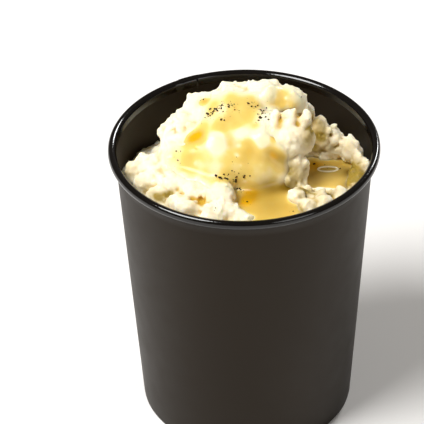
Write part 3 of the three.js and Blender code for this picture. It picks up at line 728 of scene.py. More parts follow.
def coated_paperboard():
    """Matt coated paperboard, printed black all over: a soft sheen, faint fibre relief and a warm charcoal tone."""
    material, tree, shader = new_material("coated_paperboard_matt_black")
    look = bpy.context.scene.potato_cup
    where = {"Vector": add_node(tree, "ShaderNodeTexCoord").outputs["Object"]}
    cloud = add_node(tree, "ShaderNodeTexNoise", {"Scale": per_metre(9), "Detail": 3.0}, where)
    fibre = add_node(tree, "ShaderNodeTexNoise", {"Scale": per_metre(0.7), "Detail": 3.0, "Roughness": 0.6}, where)
    tones = {"data_type": "RGBA", 6: look.paper_colour[:], 7: look.paper_light[:]}
    tone = add_node(tree, "ShaderNodeMix", tones, {0: cloud.outputs["Fac"]})
    rough = add_node(tree, "ShaderNodeMapRange", {"To Min": 0.44, "To Max": 0.56}, {"Value": cloud.outputs["Fac"]})
    relief = {"Strength": 0.12, "Distance": 0.0001}
    bump = add_node(tree, "ShaderNodeBump", relief, {"Height": fibre.outputs["Fac"]})
    shader.inputs["Specular IOR Level"].default_value = 0.24
    shader.inputs["Specular Tint"].default_value = look.sheen[:]
    tree.links.new(tone.outputs[2], shader.inputs["Base Color"])
    tree.links.new(rough.outputs["Result"], shader.inputs["Roughness"])
    tree.links.new(bump.outputs["Normal"], shader.inputs["Normal"])
    return material


def rolled_paperboard():
    """The same board rolled tight for the rim: ironed smooth, so glossier, with small creases across."""
    material, tree, shader = new_material("rolled_paperboard_gloss_black")
    look = bpy.context.scene.potato_cup
    where = {"Vector": add_node(tree, "ShaderNodeTexCoord").outputs["Object"]}
    crease = add_node(tree, "ShaderNodeTexNoise", {"Scale": per_metre(1.6), "Detail": 4.0}, where)
    rough = add_node(tree, "ShaderNodeMapRange", {"To Min": 0.05, "To Max": 0.14}, {"Value": crease.outputs["Fac"]})
    relief = {"Strength": 0.2, "Distance": 0.0002}
    bump = add_node(tree, "ShaderNodeBump", relief, {"Height": crease.outputs["Fac"]})
    shader.inputs["Base Color"].default_value = look.rim_colour[:]
    tree.links.new(rough.outputs["Result"], shader.inputs["Roughness"])
    tree.links.new(bump.outputs["Normal"], shader.inputs["Normal"])
    return material


def potato_mash():
    """Moist mashed potato: light goes a few millimetres in; creases look yellow, partly butter and partly painted
    shade, and painted shade with some brown juice darkens it in places.
    """
    material, tree, shader = new_material("mashed_potato_moist")
    look = bpy.context.scene.potato_mash
    where = {"Vector": add_node(tree, "ShaderNodeTexCoord").outputs["Object"]}
    patch = add_node(tree, "ShaderNodeTexNoise", {"Scale": per_metre(7), "Detail": 3.0}, where)
    crumb = add_node(tree, "ShaderNodeTexNoise", {"Scale": per_metre(1.1), "Detail": 5.0, "Roughness": 0.6}, where)
    tones = {"data_type": "RGBA", 6: look.pale[:], 7: look.cream[:]}
    tone = add_node(tree, "ShaderNodeMix", tones, {0: patch.outputs["Fac"]})
    amounts = {}
    # crease: butter and painted shade in the hollows; wet: mash beside gravy; shade: painted shade with some brown
    # juice
    for name, colour in (("crease", look.butter_and_shade), ("wet", look.soaked), ("shade", look.juice_and_shade)):
        amounts[name] = add_node(tree, "ShaderNodeAttribute", {"attribute_name": name}).outputs["Fac"]
        tones = {"data_type": "RGBA", 7: colour[:]}
        tone = add_node(tree, "ShaderNodeMix", tones, {0: amounts[name], 6: tone.outputs[2]})
    rough = add_node(tree, "ShaderNodeMapRange", {"To Min": 0.5, "To Max": 0.28}, {"Value": amounts["wet"]})
    relief = {"Strength": 0.6, "Distance": 0.0006}
    bump = add_node(tree, "ShaderNodeBump", relief, {"Height": crumb.outputs["Fac"]})
    shader.inputs["Subsurface Weight"].default_value = 0.75
    shader.inputs["Subsurface Radius"].default_value = (1.0, 0.86, 0.55)
    shader.inputs["Subsurface Scale"].default_value = look.glow
    shader.inputs["IOR"].default_value = 1.38
    tree.links.new(tone.outputs[2], shader.inputs["Base Color"])
    tree.links.new(rough.outputs["Result"], shader.inputs["Roughness"])
    tree.links.new(bump.outputs["Normal"], shader.inputs["Normal"])
    return material


def butter_gravy():
    """Thin pale butter gravy: glossy and cream where it is a film, golden to amber where it stands deep or is
    deepened as painted shade, and browner where shade is painted.
    """
    material, tree, shader = new_material("butter_gravy_wet")
    look = bpy.context.scene.potato_gravy
    where = {"Vector": add_node(tree, "ShaderNodeTexCoord").outputs["Object"]}
    depth = add_node(tree, "ShaderNodeAttribute", {"attribute_name": "depth"})
    cloud = add_node(tree, "ShaderNodeTexNoise", {"Scale": per_metre(5), "Detail": 3.0}, where)
    ripple = add_node(tree, "ShaderNodeTexNoise", {"Scale": per_metre(2.4), "Detail": 2.0}, where)
    uneven = {"operation": "MULTIPLY_ADD", 1: 0.2, 2: -0.1}
    shifted = add_node(tree, "ShaderNodeMath", uneven, {0: cloud.outputs["Fac"]})
    terms = {0: depth.outputs["Fac"], 1: shifted.outputs["Value"]}
    amount = add_node(tree, "ShaderNodeMath", {"operation": "ADD"}, terms)
    ramp = add_node(tree, "ShaderNodeValToRGB", {}, {"Fac": amount.outputs["Value"]})
    stops = ramp.color_ramp.elements
    stops[0].position, stops[0].color = 0.04, look.edge[:]
    stops[1].position, stops[1].color = 1.0, look.amber[:]
    for position, colour in ((0.32, look.film), (0.66, look.golden)):
        stops.new(position).color = colour[:]
    # Painted shade, with some brown juice, darkens the gravy towards brown.
    shade = add_node(tree, "ShaderNodeAttribute", {"attribute_name": "shade"})
    tones = {"data_type": "RGBA", 7: look.juice_and_shade[:]}
    juice_and_shade_mix = add_node(tree, "ShaderNodeMix", tones, {0: shade.outputs["Fac"], 6: ramp.outputs["Color"]})
    relief = {"Strength": 0.12, "Distance": 0.0004}
    bump = add_node(tree, "ShaderNodeBump", relief, {"Height": ripple.outputs["Fac"]})
    shader.inputs["Subsurface Weight"].default_value = 0.6
    shader.inputs["Subsurface Radius"].default_value = (1.0, 0.72, 0.3)
    shader.inputs["Subsurface Scale"].default_value = look.glow
    shader.inputs["Roughness"].default_value = 0.3
    shader.inputs["IOR"].default_value = 1.42
    tree.links.new(juice_and_shade_mix.outputs[2], shader.inputs["Base Color"])
    tree.links.new(bump.outputs["Normal"], shader.inputs["Normal"])
    return material


def pale_ring_highlight():
    """A glossy ring of fat, pale cream so that it shows as a bright ring: its gloss is real, its pale colour a
    painted highlight.
    """
    material, _, shader = new_material("fat_ring_glossy_painted_highlight")
    look = bpy.context.scene.potato_gravy
    shader.inputs["Base Color"].default_value = look.ring_highlight[:]
    shader.inputs["Roughness"].default_value = 0.06
    shader.inputs["IOR"].default_value = 1.46
    return material


def cracked_pepper():
    """Cracked black pepper: dull, dark brown skin with paler broken faces."""
    material, tree, shader = new_material("cracked_pepper_dry")
    look = bpy.context.scene.potato_pepper
    where = {"Vector": add_node(tree, "ShaderNodeTexCoord").outputs["Object"]}
    skin = add_node(tree, "ShaderNodeTexNoise", {"Scale": per_metre(0.9), "Detail": 3.0}, where)
    tone = add_node(tree, "ShaderNodeValToRGB", {}, {"Fac": skin.outputs["Fac"]})
    stops = tone.color_ramp.elements
    stops[0].position, stops[0].color = 0.5, look.skin[:]
    stops[1].position, stops[1].color = 0.72, look.broken[:]
    shader.inputs["Roughness"].default_value = 0.7
    shader.inputs["Specular IOR Level"].default_value = 0.15
    tree.links.new(tone.outputs["Color"], shader.inputs["Base Color"])
    return material


def seamless_paper():
    """Matt white backdrop paper under the part."""
    material, _, shader = new_material("backdrop_paper_matt")
    look = bpy.context.scene.potato_stage
    shader.inputs["Base Color"].default_value = look.floor_colour[:]
    shader.inputs["Roughness"].default_value = 0.9
    return material


# ---------------------------------------------------------------- settings


class CupSettings(bpy.types.PropertyGroup):
    seam_at: bpy.props.FloatProperty(
        name="Seam at", description="Where the side wall's glued overlap is, round the cup from +X",
        default=math.radians(112), subtype="ANGLE", unit="ROTATION",
    )
    seam_width: bpy.props.FloatProperty(
        name="Seam width", description="Width of the glued overlap", default=0.008,
        subtype="DISTANCE", unit="LENGTH",
    )
    seam_step: bpy.props.FloatProperty(
        name="Seam step", description="How far the overlap stands out", default=0.0003,
        subtype="DISTANCE", unit="LENGTH",
    )
    paper_colour: bpy.props.FloatVectorProperty(
        name="Paper", description="Darker tone of the black board", size=4, subtype="COLOR", default=srgb(0x100B07),
    )
    paper_light: bpy.props.FloatVectorProperty(
        name="Paper, light", description="Lighter tone of the black board", size=4, subtype="COLOR",
        default=srgb(0x17110B),
    )
    sheen: bpy.props.FloatVectorProperty(
        name="Sheen", description="Tint of the board's soft sheen", size=4, subtype="COLOR", default=srgb(0xFFEBD2),
    )
    rim_colour: bpy.props.FloatVectorProperty(
        name="Rim", description="Colour of the rolled rim", size=4, subtype="COLOR", default=srgb(0x0C0907),
    )


class MashSettings(bpy.types.PropertyGroup):
    pitch: bpy.props.FloatProperty(
        name="Detail", description="Spacing of the lattice that the mash is shaped on", default=0.00064,
        subtype="DISTANCE", unit="LENGTH",
    )
    crumbs: bpy.props.IntProperty(name="Crumbs", description="Number of small crumbs on the mash", default=3600)
    glow: bpy.props.FloatProperty(
        name="Glow", description="How deep light goes into the mash", default=0.003,
        subtype="DISTANCE", unit="LENGTH",
    )
    pale: bpy.props.FloatVectorProperty(
        name="Pale", description="Palest mash", size=4, subtype="COLOR", default=srgb(0xF9F1DC),
    )
    cream: bpy.props.FloatVectorProperty(
        name="Cream", description="Warmer mash", size=4, subtype="COLOR", default=srgb(0xF2E4BE),
    )
    # Crease colour: butter, and painted shade in the hollows.
    butter_and_shade: bpy.props.FloatVectorProperty(
        name="Butter", description="Mash in creases", size=4, subtype="COLOR", default=srgb(0xCAA334),
    )
    soaked: bpy.props.FloatVectorProperty(
        name="Soaked", description="Mash beside gravy", size=4, subtype="COLOR", default=srgb(0xF4E8C2),
    )
    # Colour of painted shade on the mash, with some brown juice.
    juice_and_shade: bpy.props.FloatVectorProperty(
        name="Juice", description="Mash that holds brown juice", size=4, subtype="COLOR", default=srgb(0x98802E),
    )


class GravySettings(bpy.types.PropertyGroup):
    evenness: bpy.props.FloatProperty(
        name="Evenness", description="How wide the hollows are that the gravy fills", default=0.0019,
        subtype="DISTANCE", unit="LENGTH",
    )
    glow: bpy.props.FloatProperty(
        name="Glow", description="How deep light goes into the gravy", default=0.0025,
        subtype="DISTANCE", unit="LENGTH",
    )
    edge: bpy.props.FloatVectorProperty(
        name="Edge", description="Gravy where mash shows through it", size=4, subtype="COLOR",
        default=srgb(0xF4E8C2),
    )
    film: bpy.props.FloatVectorProperty(
        name="Film", description="Gravy as a thin film", size=4, subtype="COLOR", default=srgb(0xE7CA70),
    )
    golden: bpy.props.FloatVectorProperty(
        name="Golden", description="Gravy of middling depth", size=4, subtype="COLOR", default=srgb(0xD8B556),
    )
    amber: bpy.props.FloatVectorProperty(
        name="Amber", description="Gravy where it is deep", size=4, subtype="COLOR", default=srgb(0xE0A704),
    )
    # Pale colour of the ring that stands in for a highlight: painted highlight.
    ring_highlight: bpy.props.FloatVectorProperty(
        name="Fat", description="Fat that floats on the gravy", size=4, subtype="COLOR", default=srgb(0xFFF3D0),
    )
    # Colour of painted shade on the gravy, with some brown juice.
    juice_and_shade: bpy.props.FloatVectorProperty(
        name="Juice", description="Gravy with brown juice in it", size=4, subtype="COLOR", default=srgb(0x7C5E0C),
    )


class PepperSettings(bpy.types.PropertyGroup):
    dust: bpy.props.IntProperty(name="Dust", description="Number of fine specks round each grain", default=2)
    skin: bpy.props.FloatVectorProperty(
        name="Skin", description="Pepper's skin", size=4, subtype="COLOR", default=srgb(0x241808),
    )
    broken: bpy.props.FloatVectorProperty(
        name="Broken", description="Pepper's broken faces", size=4, subtype="COLOR", default=srgb(0x7A6236),
    )


class StageSettings(bpy.types.PropertyGroup):
    floor_colour: bpy.props.FloatVectorProperty(
        name="Floor", description="Colour of the floor", size=4, subtype="COLOR", default=srgb(0xF4F2EF),
    )
    key_power: bpy.props.FloatProperty(
        name="Key light", description="Power of the key light", default=70.0, subtype="POWER", unit="POWER",
    )
    fill_power: bpy.props.FloatProperty(
        name="Fill light", description="Power of the fill light", default=6.5, subtype="POWER", unit="POWER",
    )
    back_power: bpy.props.FloatProperty(
        name="Back light", description="Power of the small light that edges the rim", default=14.0,
        subtype="POWER", unit="POWER",
    )
    sky: bpy.props.FloatProperty(name="Surround", description="Brightness of the surround", default=0.12)


# ---------------------------------------------------------------- what the pieces share

made = {}  # what the operators hand on to each other


def shape_mash():
    """The mash as distances on a lattice: crags, unevenness and crumbs."""
    settings = bpy.context.scene.potato_mash
    pitch = settings.pitch / MM
    grid = Lattice(LATTICE_LOW, LATTICE_HIGH, pitch)
    rng = np.random.default_rng(MASH_SEED)

    warp = [grid.noise(WARP_SPACING, rng) for _ in range(3)]
    axes = (grid.x, grid.y, grid.z)
    bulk = [axis + share * shift for axis, share, shift in zip(axes, BULK_WARP, warp)]
    small = [axis + share * shift for axis, share, shift in zip(axes, SMALL_WARP, warp)]
    small[0] = small[0] + FINE_WARP * grid.noise(FINE_SPACING, rng)

    weight = np.exp(-np.clip((bulk[2] - BED_LEVEL + BED_SLOPE * bulk[1]) * BED_UPRIGHT, *EXPONENTS) / BULK_BLEND)
    for crag in list(CRAGS.values())[:MAIN_FORMS]:
        cut = grid.window(crag[:3], [half + BULK_REACH for half in crag[3:6]])
        weight[cut] += np.exp(-np.clip(ellipsoid(bulk, cut, crag), *EXPONENTS) / BULK_BLEND)
    solid = (-BULK_BLEND * np.log(np.maximum(weight, 1e-9))).astype(np.float32)
    for name, crag in list(CRAGS.items())[MAIN_FORMS:] + [("lump", lump) for lump in LUMPS]:
        fillet = FILLET_SHARP if name.startswith(SHARP) else FILLET_LUMP if name == "lump" else FILLET
        cut = grid.window(crag[:3], [half + CRAG_REACH for half in crag[3:6]])
        solid[cut] = soft_least(solid[cut], ellipsoid(small, cut, crag), fillet)

    made["poured"] = poured_over(grid)
    bare = np.clip(0.5 - 0.5 * gravy_margin(grid, made["poured"][0]), 0, 1)
    uneven = 0.1 + 0.9 * bare  # gravy evens out most of it
    low_or_back = np.maximum(growing(grid.z, *ROUGH_LOW), growing(grid.y, *ROUGH_BACK))
    right = np.clip(growing(grid.x, *ROUGH_RIGHT), 0, 1) * np.clip(low_or_back, 0, 1)
    crumbly = 0.6 + 0.4 * np.clip(np.maximum(growing(grid.y, *ROUGH_BEHIND), right), 0, 1)
    puffs = crumbly * sum(height * (np.abs(grid.noise(spacing, rng)) - PUFF_MEAN) for spacing, height in PUFFS)
    for spacing, height in WAVES:
        puffs = puffs + height * grid.noise(spacing, rng)
    body = (solid + INSET - uneven * puffs).astype(np.float32)
    add_crumbs(grid, body, small, uneven * crumbly, rng)
    return grid, body


def add_crumbs(grid, body, small, share, rng):
    """Joins small crumbs to the surface of the mash, more of them where share is high."""
    spots = np.argwhere((np.abs(body) < grid.pitch * 0.55) & (grid.z > CRUMB_FLOOR))
    slope = np.gradient(body, grid.pitch)
    spots = spots[rng.random(len(spots)) < share[tuple(spots.T)]]
    chosen = spots[rng.choice(len(spots), bpy.context.scene.potato_mash.crumbs, replace=False)]
    at = tuple(chosen.T)
    normals = np.stack([part[at] for part in slope], axis=1)
    normals /= np.linalg.norm(normals, axis=1, keepdims=True) + 1e-6
    centres = np.stack([part[at] for part in small], axis=1)
    size = CRUMB_LEAST + CRUMB_MORE * rng.random(len(chosen)) ** 2
    size[: len(size) // BIG_CRUMBS] *= BIG_CRUMB
    forms = rng.uniform(*CRUMB_FORM, (len(chosen), 3))
    for centre, normal, radius, form in zip(centres, normals, size, forms):
        centre = centre - normal * radius * CRUMB_SUNK
        cut = grid.window(centre, form * radius + CRUMB_REACH)
        crumb = ellipsoid(small, cut, (*centre, *(form * radius), 0))
        body[cut] = soft_least(body[cut], crumb, CRUMB_FILLET)


def poured_over(grid):
    """How far in from the poured gravy's edge each lattice point is, and how thick the gravy is there."""
    inward = np.full(grid.shape, -9.0, np.float32)
    total = np.full(grid.shape, 1e-6, np.float32)
    thick = np.zeros(grid.shape, np.float32)
    for x, y, z, radius in POURED:
        cut = grid.window((x, y, z), [radius + POUR_REACH] * 3)
        away = np.sqrt((grid.x[cut[0]] - x) ** 2 + (grid.y[:, cut[1]] - y) ** 2 + (grid.z[:, :, cut[2]] - z) ** 2)
        depth = radius + POUR_SWELL - away
        inward[cut] = -soft_least(-inward[cut], -depth, POUR_FILLET)
        share = np.exp(np.clip(depth, -6, 4))
        total[cut] += share
        thick[cut] += share * THICKNESS * radius
    return inward, thick / total


def gravy_margin(grid, inward):
    """How far inside the gravy's edge each lattice point is, over the heap and in the pools."""
    margin = inward
    for x, y, radius, level in (FRONT_POOL, SIDE_POOL):
        away = np.hypot(grid.x - x, grid.y - y)
        margin = np.maximum(margin, np.minimum((POOL_EDGE * radius - away) * 0.5, level + 1 - grid.z))
    return margin.astype(np.float32)


def shape_gravy(grid, body, pool):
    """Gravy as distances: it evens out the mash where it was poured, and stands level in its pool."""
    sheet = np.full(grid.shape, NO_GRAVY, np.float32)
    if pool is FRONT_POOL:
        inward, thickness = made["poured"]
        share = 1 - np.exp(-np.maximum(inward, 0) / EDGE_RISE)
        poured = made["even"] - np.where(inward > 0, thickness * share, 0.6 * inward)
        poured = np.where(inward > 0, np.minimum(poured, body - FILM * share), poured)
        sheet = np.where(inward > -5, poured, NO_GRAVY).astype(np.float32)
    x, y, radius, level = pool
    away = np.hypot(grid.x - x, grid.y - y)
    surface = level - POOL_FALL * np.maximum(away - radius * POOL_FLAT, 0) ** 2
    standing = np.maximum(grid.z - surface, (away - radius * POOL_LIMIT) * 0.7)
    sheet = soft_least(sheet, standing.astype(np.float32), POOL_FILLET)
    if pool is SIDE_POOL:
        sheet = np.maximum(sheet, SIDE_POOL_WEST - grid.x)
    return np.maximum(sheet, -(body + GRAVY_DEPTH))


def prepare():
    """Shapes mash and gravy once, for all operators."""
    if "grid" in made:
        return
    grid, body = shape_mash()
    made["even"] = grid.blurred(body, bpy.context.scene.potato_gravy.evenness / MM)
    room = np.hypot(grid.x, grid.y) - (wall_radius(np.minimum(grid.z, CUP_HEIGHT)) - PAPER - 0.1)
    room = room.astype(np.float32)
    made["grid"] = grid
    made["open_body"] = body
    made["body"] = np.maximum(body, room)
    made["gravy"] = np.maximum(shape_gravy(grid, body, FRONT_POOL), room)
    made["gravy_pool"] = np.maximum(shape_gravy(grid, body, SIDE_POOL), room)


# ---------------------------------------------------------------- operators


class MakeCup(bpy.types.Operator):
    """Side wall with its rolled rim, folded foot and glued overlap, and the recessed base"""

    bl_idname = "potato_side.make_cup"
    bl_label = "Cup"

    def execute(self, context):
        look = context.scene.potato_cup
        board, rolled = coated_paperboard(), rolled_paperboard()
        top_radius, top = RIM_RADIUS - ROLL_WIDTH, CUP_HEIGHT - ROLL_HEIGHT
        hem = BASE_RADIUS - PAPER - GAP - PAPER - GAP
        outer = [(BASE_RADIUS - LIP, 0), (BASE_RADIUS + wall_radius(0.3) - wall_radius(0) - 0.02, 0.25)]
        outer += [(wall_radius(z), z) for z in np.linspace(1.2, top - 0.3, WALL_ROWS)]
        centre = (top_radius + ROLL_WIDTH / 2, CUP_HEIGHT - ROLL_HEIGHT / 2)
        inner_reach = centre[0] - (top_radius - PAPER)
        roll = []
        for step in range(ROLL_STEPS + 1):
            angle = math.radians(ROLL_FROM + ROLL_SWEEP * step / ROLL_STEPS)
            reach = inner_reach if angle > math.pi / 2 else ROLL_WIDTH / 2
            roll.append((centre[0] + reach * math.cos(angle), centre[1] + ROLL_HEIGHT / 2 * math.sin(angle)))
        inner = [(wall_radius(z) - PAPER, z) for z in np.linspace(top - 0.4, PAPER + 0.2, WALL_ROWS)]
        foot = [
            (BASE_RADIUS - PAPER - 0.1, PAPER),
            (hem + 0.1, PAPER),
            (hem, PAPER + 0.15),
            (hem, HEM_HEIGHT),
            (hem - PAPER, HEM_HEIGHT),
            (hem - PAPER, LIP),
            (hem - PAPER + LIP, 0),
        ]
        profile = outer + roll + inner + foot
        rows = np.arange(len(profile))
        first_inside = len(outer) + len(roll) * 3 // 4
        out_side = rows < first_inside
        in_side = (rows >= first_inside) & (rows < len(outer) + len(roll) + len(inner) - 2)
        width = look.seam_width / MM / RIM_RADIUS
        start, step = look.seam_at, look.seam_step / MM

        soft, sharp = 0.35, 0.04  # shares of the overlap's width over which it rises

        def overlap(angle):
            """The overlap's step: sharp at the edge of the paper on each face, and soft on its other side."""
            t = (angle - start) / width

            def ramp(a, b):
                return min(max((t - a) / (b - a), 0.0), 1.0)

            outside = ramp(-soft, 0.0) * (1 - ramp(1.0, 1 + sharp))
            inside = ramp(-sharp, 0.0) * (1 - ramp(1.0, 1 + soft))
            return step * (out_side * outside - in_side * inside)

        extra = [start + width * t for t in (-soft, -sharp, 0.0, 0.5, 1.0, 1 + sharp, 1 + soft)]
        angles = sorted([*around(TURN_STEPS), *extra])
        points, quads = lathe(profile, angles, overlap)
        wall = make_object("cup_side_wall", points, quads, board, "cup_wall")
        wall.data.materials.append(rolled)
        rim_rows = (rows >= len(outer)) & (rows < len(outer) + len(roll))
        wall.data.polygons.foreach_set("material_index", np.tile(rim_rows, len(angles)).astype(np.int32))

        outside = BASE_RADIUS - PAPER - GAP
        inside = outside - PAPER
        pressed = ((AXIS, 0), (30, 0), (36, 0), (36.6, 0.25), (38.4, 0.25), (39, 0))
        pressed += ((inside - 0.8, 0), (inside, 0.5))
        disc = [(AXIS, DISC_HEIGHT + PAPER)] + [(radius, DISC_HEIGHT - drop) for radius, drop in pressed]
        disc += [(inside, PAPER + GAP), (outside, PAPER + GAP)]
        disc += [(outside, DISC_HEIGHT), (outside - 0.5, DISC_HEIGHT + PAPER)]
        points, quads = lathe(disc, around(TURN_STEPS))
        make_object("cup_base_disc", points, quads[:, ::-1], board, "cup_base")
        return {"FINISHED"}


class MakeMash(bpy.types.Operator):
    """Craggy, crumbly heap of mash, and the mash that fills the cup under it"""

    bl_idname = "potato_side.make_mash"
    bl_label = "Mash"

    def execute(self, context):
        prepare()
        grid, body = made["grid"], made["body"]
        points, quads = grid.skin(body)
        floor = DISC_HEIGHT + PAPER + GAP
        filling = [(wall_radius(z) - PAPER - GAP, z) for z in (floor, 50, FILL_TOP)]
        more, faces = lathe([(AXIS, floor), *filling, (AXIS, FILL_TOP)], around(96))
        everything, faces = np.concatenate([points, more]), np.concatenate([quads, faces + len(points)])
        heap = make_object("mash_heap", everything, faces, potato_mash(), "mashed_potato")
        # Creases are tinted as butter and as painted shade in the hollows; the stains add butter and some painted
        # shade.
        crease = 0
        for sigma, gain in CREASES:
            soft = grid.blurred(made["open_body"], sigma)
            crease = crease + gain * np.maximum(grid.sample(made["open_body"] - soft, points), 0)
        gravy = np.minimum(made["gravy"], made["gravy_pool"])
        wet = np.clip(1 - grid.sample(gravy, points) / WET_REACH, 0, 1) ** 1.5
        crease = np.maximum(crease - 0.08, 0)
        crease = crease + (0.45 + 1.5 * crease) * spread(points, STAINS_AND_SHADE + VALLEYS)
        # Painted shade, with some brown juice, stronger in creases.
        shade = (0.75 + 1.2 * crease) * spread(points, SHADE)
        for name, values in (("crease", crease), ("wet", wet), ("shade", shade)):
            add_values(heap, name, np.concatenate([np.clip(values, 0, 1), np.zeros(len(more))]))
        made["mash_heap"] = (points, quads)
        return {"FINISHED"}


class MakeGravy(bpy.types.Operator):
    """Gravy over the heap with its pool at the front rim, and the separate pool at the side"""

    bl_idname = "potato_side.make_gravy"
    bl_label = "Gravy"

    def execute(self, context):
        prepare()
        grid = made["grid"]
        material = butter_gravy()
        for name, node in (("gravy_pour", "gravy"), ("gravy_side_pool", "gravy_pool")):
            points, quads = grid.skin(made[node])
            piece = make_object(name, points, quads, material, node)
            depth = np.maximum(grid.sample(made["open_body"], points), 0)
            depth = DEPTH_SCALE * (1 - np.exp(-depth / DEPTH_SCALE))
            inward = grid.sample(made["poured"][0], points)
            for x, y, radius, level in (FRONT_POOL, SIDE_POOL):
                within = POOL_EDGE * radius - np.hypot(points[:, 0] - x, points[:, 1] - y)
                inward = np.where(points[:, 2] < level + 1.5, np.maximum(inward, within), inward)
            # depth: real gravy depth plus the table's spots, some of them painted shade; shade: painted shade with
            # some brown juice
            add_values(piece, "depth", depth * np.clip(0.15 + inward / 6, 0, 1) + spread(points, DEEP_AND_SHADE + VALLEYS))
            add_values(piece, "shade", np.clip(spread(points, SHADE), 0, 1))
            made[name] = (points, quads)
        # The ring is pale so that it shows as a bright ring: a painted highlight.
        x, y, length, width, thick = HIGHLIGHT_RING
        section = [(thick * 0.5 * math.cos(a), thick * 0.4 * math.sin(a)) for a in around(RING_SIDES)]
        points, quads = lathe(section, around(RING_STEPS))
        turn = np.repeat(around(RING_STEPS), RING_SIDES)
        level = np.full(len(turn), SIDE_POOL[3])
        centre = np.stack([x + length * np.cos(turn), y + width * np.sin(turn), level], axis=1)
        make_object("gravy_ring_painted_highlight", points + centre, quads, pale_ring_highlight(), None)
        return {"FINISHED"}


class MakePepper(bpy.types.Operator):
    """Cracked pepper on the gravy and mash"""

    bl_idname = "potato_side.make_pepper"
    bl_label = "Pepper"

    def execute(self, context):
        settings = context.scene.potato_pepper
        surfaces = []
        for key in ("mash_heap", "gravy_pour", "gravy_side_pool"):
            points, quads = made[key]
            surfaces.append(BVHTree.FromPolygons(points.tolist(), quads.tolist()))
        rng = np.random.default_rng(PEPPER_SEED)
        ball_points, ball_faces = ico_ball()
        everything, faces = [], []
        grains = list(PEPPER)
        for x, y, spread_x, spread_y, count in PEPPER_CLUSTERS:
            for _ in range(count):
                grains.append((rng.normal(x, spread_x), rng.normal(y, spread_y), rng.uniform(*CLUSTER_SIZE)))
        for x, y, _ in list(grains):
            for _ in range(settings.dust):
                dx, dy = rng.normal(0, DUST_SPREAD, 2)
                grains.append((x + dx, y + dy, rng.uniform(*DUST_SIZE)))
        for x, y, size in grains:
            found = [tree.ray_cast(Vector((x, y, 200)), Vector((0, 0, -1))) for tree in surfaces]
            found = [hit for hit in found if hit[0] is not None]
            if not found:
                raise RuntimeError(f"no food under the pepper at {x:.1f}, {y:.1f}")
            place, normal = max(found, key=lambda hit: hit[0].z)[:2]
            form = rng.uniform(0.55, 1.0, 3) * size / 2 * np.array([1.15, 0.95, 0.7])
            rough = 1 + rng.uniform(-0.22, 0.22, (len(ball_points), 1))
            turn = Matrix.Rotation(rng.uniform(0, 2 * math.pi), 3, "Z")
            turn = turn @ Matrix.Rotation(rng.uniform(-0.6, 0.6), 3, "X")
            tilt = normal.to_track_quat("Z", "Y").to_matrix()
            shape = (ball_points * rough * form) @ np.array(tilt @ turn).T
            faces.append(ball_faces + len(ball_points) * len(everything))
            everything.append(shape + np.array(place) + np.array(normal) * form[2] * 0.45)
        points, faces = np.concatenate(everything), np.concatenate(faces)
        make_object("pepper_grains", points, faces, cracked_pepper(), None, False)
        return {"FINISHED"}


def ico_ball():
    """Points and triangles of a ball of 80 faces."""
    shape = bmesh.new()
    bmesh.ops.create_icosphere(shape, subdivisions=2, radius=1.0)
    points = np.array([v.co[:] for v in shape.verts])
    faces = np.array([[v.index for v in f.verts] for f in shape.faces])
    shape.free()
    return points, faces


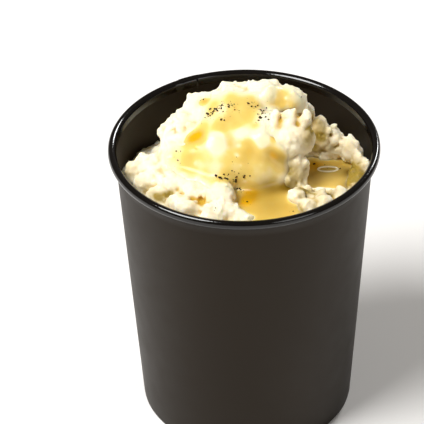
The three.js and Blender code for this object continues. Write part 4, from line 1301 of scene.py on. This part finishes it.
class MakeStage(bpy.types.Operator):
    """Pale floor, soft lights, white surround and the camera"""

    bl_idname = "potato_side.make_stage"
    bl_label = "Stage"

    def execute(self, context):
        scene = context.scene
        look = scene.potato_stage
        floor = bpy.data.meshes.new("floor")
        corners = [(x * FLOOR_HALF, y * FLOOR_HALF, 0) for x, y in ((-1, -1), (1, -1), (1, 1), (-1, 1))]
        floor.from_pydata(corners, [], [(0, 1, 2, 3)])
        floor.materials.append(seamless_paper())
        ground = bpy.data.objects.new("floor", floor)
        ground.location.z = -FLOOR_DROP
        scene.collection.objects.link(ground)

        for name, place, size, power in (
            ("key_light", (-1.15, -0.55, 1.9), 1.3, look.key_power),
            ("fill_light", (1.1, -1.3, 1.0), 1.0, look.fill_power),
            ("back_light", (0.75, 1.55, 1.25), 0.45, look.back_power),
        ):
            lamp = bpy.data.lights.new(name, "AREA")
            lamp.shape, lamp.size, lamp.energy = "DISK", size, power
            holder = bpy.data.objects.new(name, lamp)
            holder.location = place
            holder.rotation_euler = (Vector(AIM) - Vector(place)).to_track_quat("-Z", "Y").to_euler()
            scene.collection.objects.link(holder)

        world = bpy.data.worlds.new("surround")
        world.use_nodes = True
        world.node_tree.nodes.clear()
        glow = add_node(world.node_tree, "ShaderNodeBackground", {"Color": srgb(0xFFF6EA), "Strength": look.sky})
        add_node(world.node_tree, "ShaderNodeOutputWorld", {}, {"Surface": glow.outputs["Background"]})
        scene.world = world
        scene.view_settings.view_transform = "Standard"

        camera = bpy.data.cameras.new("camera")
        camera.lens, camera.sensor_width = LENS, SENSOR
        eye = bpy.data.objects.new("camera", camera)
        eye.location = EYE
        forward = Vector(FORWARD).normalized()
        right = forward.cross(Vector((0, 0, 1))).normalized()
        up = right.cross(forward)
        side = right * math.cos(ROLL) + up * math.sin(ROLL)
        top = up * math.cos(ROLL) - right * math.sin(ROLL)
        eye.rotation_mode = "QUATERNION"
        eye.rotation_quaternion = Matrix((side, top, -forward)).transposed().to_quaternion()
        scene.collection.objects.link(eye)
        scene.camera = eye
        return {"FINISHED"}


class PotatoPanel(bpy.types.Panel):
    bl_idname = "VIEW3D_PT_potato_side"
    bl_label = "Potato side"
    bl_space_type = "VIEW_3D"
    bl_region_type = "UI"
    bl_category = "Potato side"

    def draw(self, context):
        for operator, settings in PIECES:
            self.layout.operator(operator.bl_idname)
            group = getattr(context.scene, settings)
            for name in group.__annotations__:
                self.layout.prop(group, name)


GROUPS = {
    "potato_cup": CupSettings,
    "potato_mash": MashSettings,
    "potato_gravy": GravySettings,
    "potato_pepper": PepperSettings,
    "potato_stage": StageSettings,
}
PIECES = [
    (MakeCup, "potato_cup"),
    (MakeMash, "potato_mash"),
    (MakeGravy, "potato_gravy"),
    (MakePepper, "potato_pepper"),
    (MakeStage, "potato_stage"),
]


def register():
    for name, group in GROUPS.items():
        bpy.utils.register_class(group)
        setattr(bpy.types.Scene, name, bpy.props.PointerProperty(type=group))
    for operator, _ in PIECES:
        bpy.utils.register_class(operator)
    bpy.utils.register_class(PotatoPanel)


def unregister():
    bpy.utils.unregister_class(PotatoPanel)
    for operator, _ in reversed(PIECES):
        bpy.utils.unregister_class(operator)
    for name, group in reversed(GROUPS.items()):
        delattr(bpy.types.Scene, name)
        bpy.utils.unregister_class(group)


def main():
    register()
    for operator, _ in PIECES:
        group, name = operator.bl_idname.split(".")
        getattr(getattr(bpy.ops, group), name)()


if __name__ == "__main__":
    main()
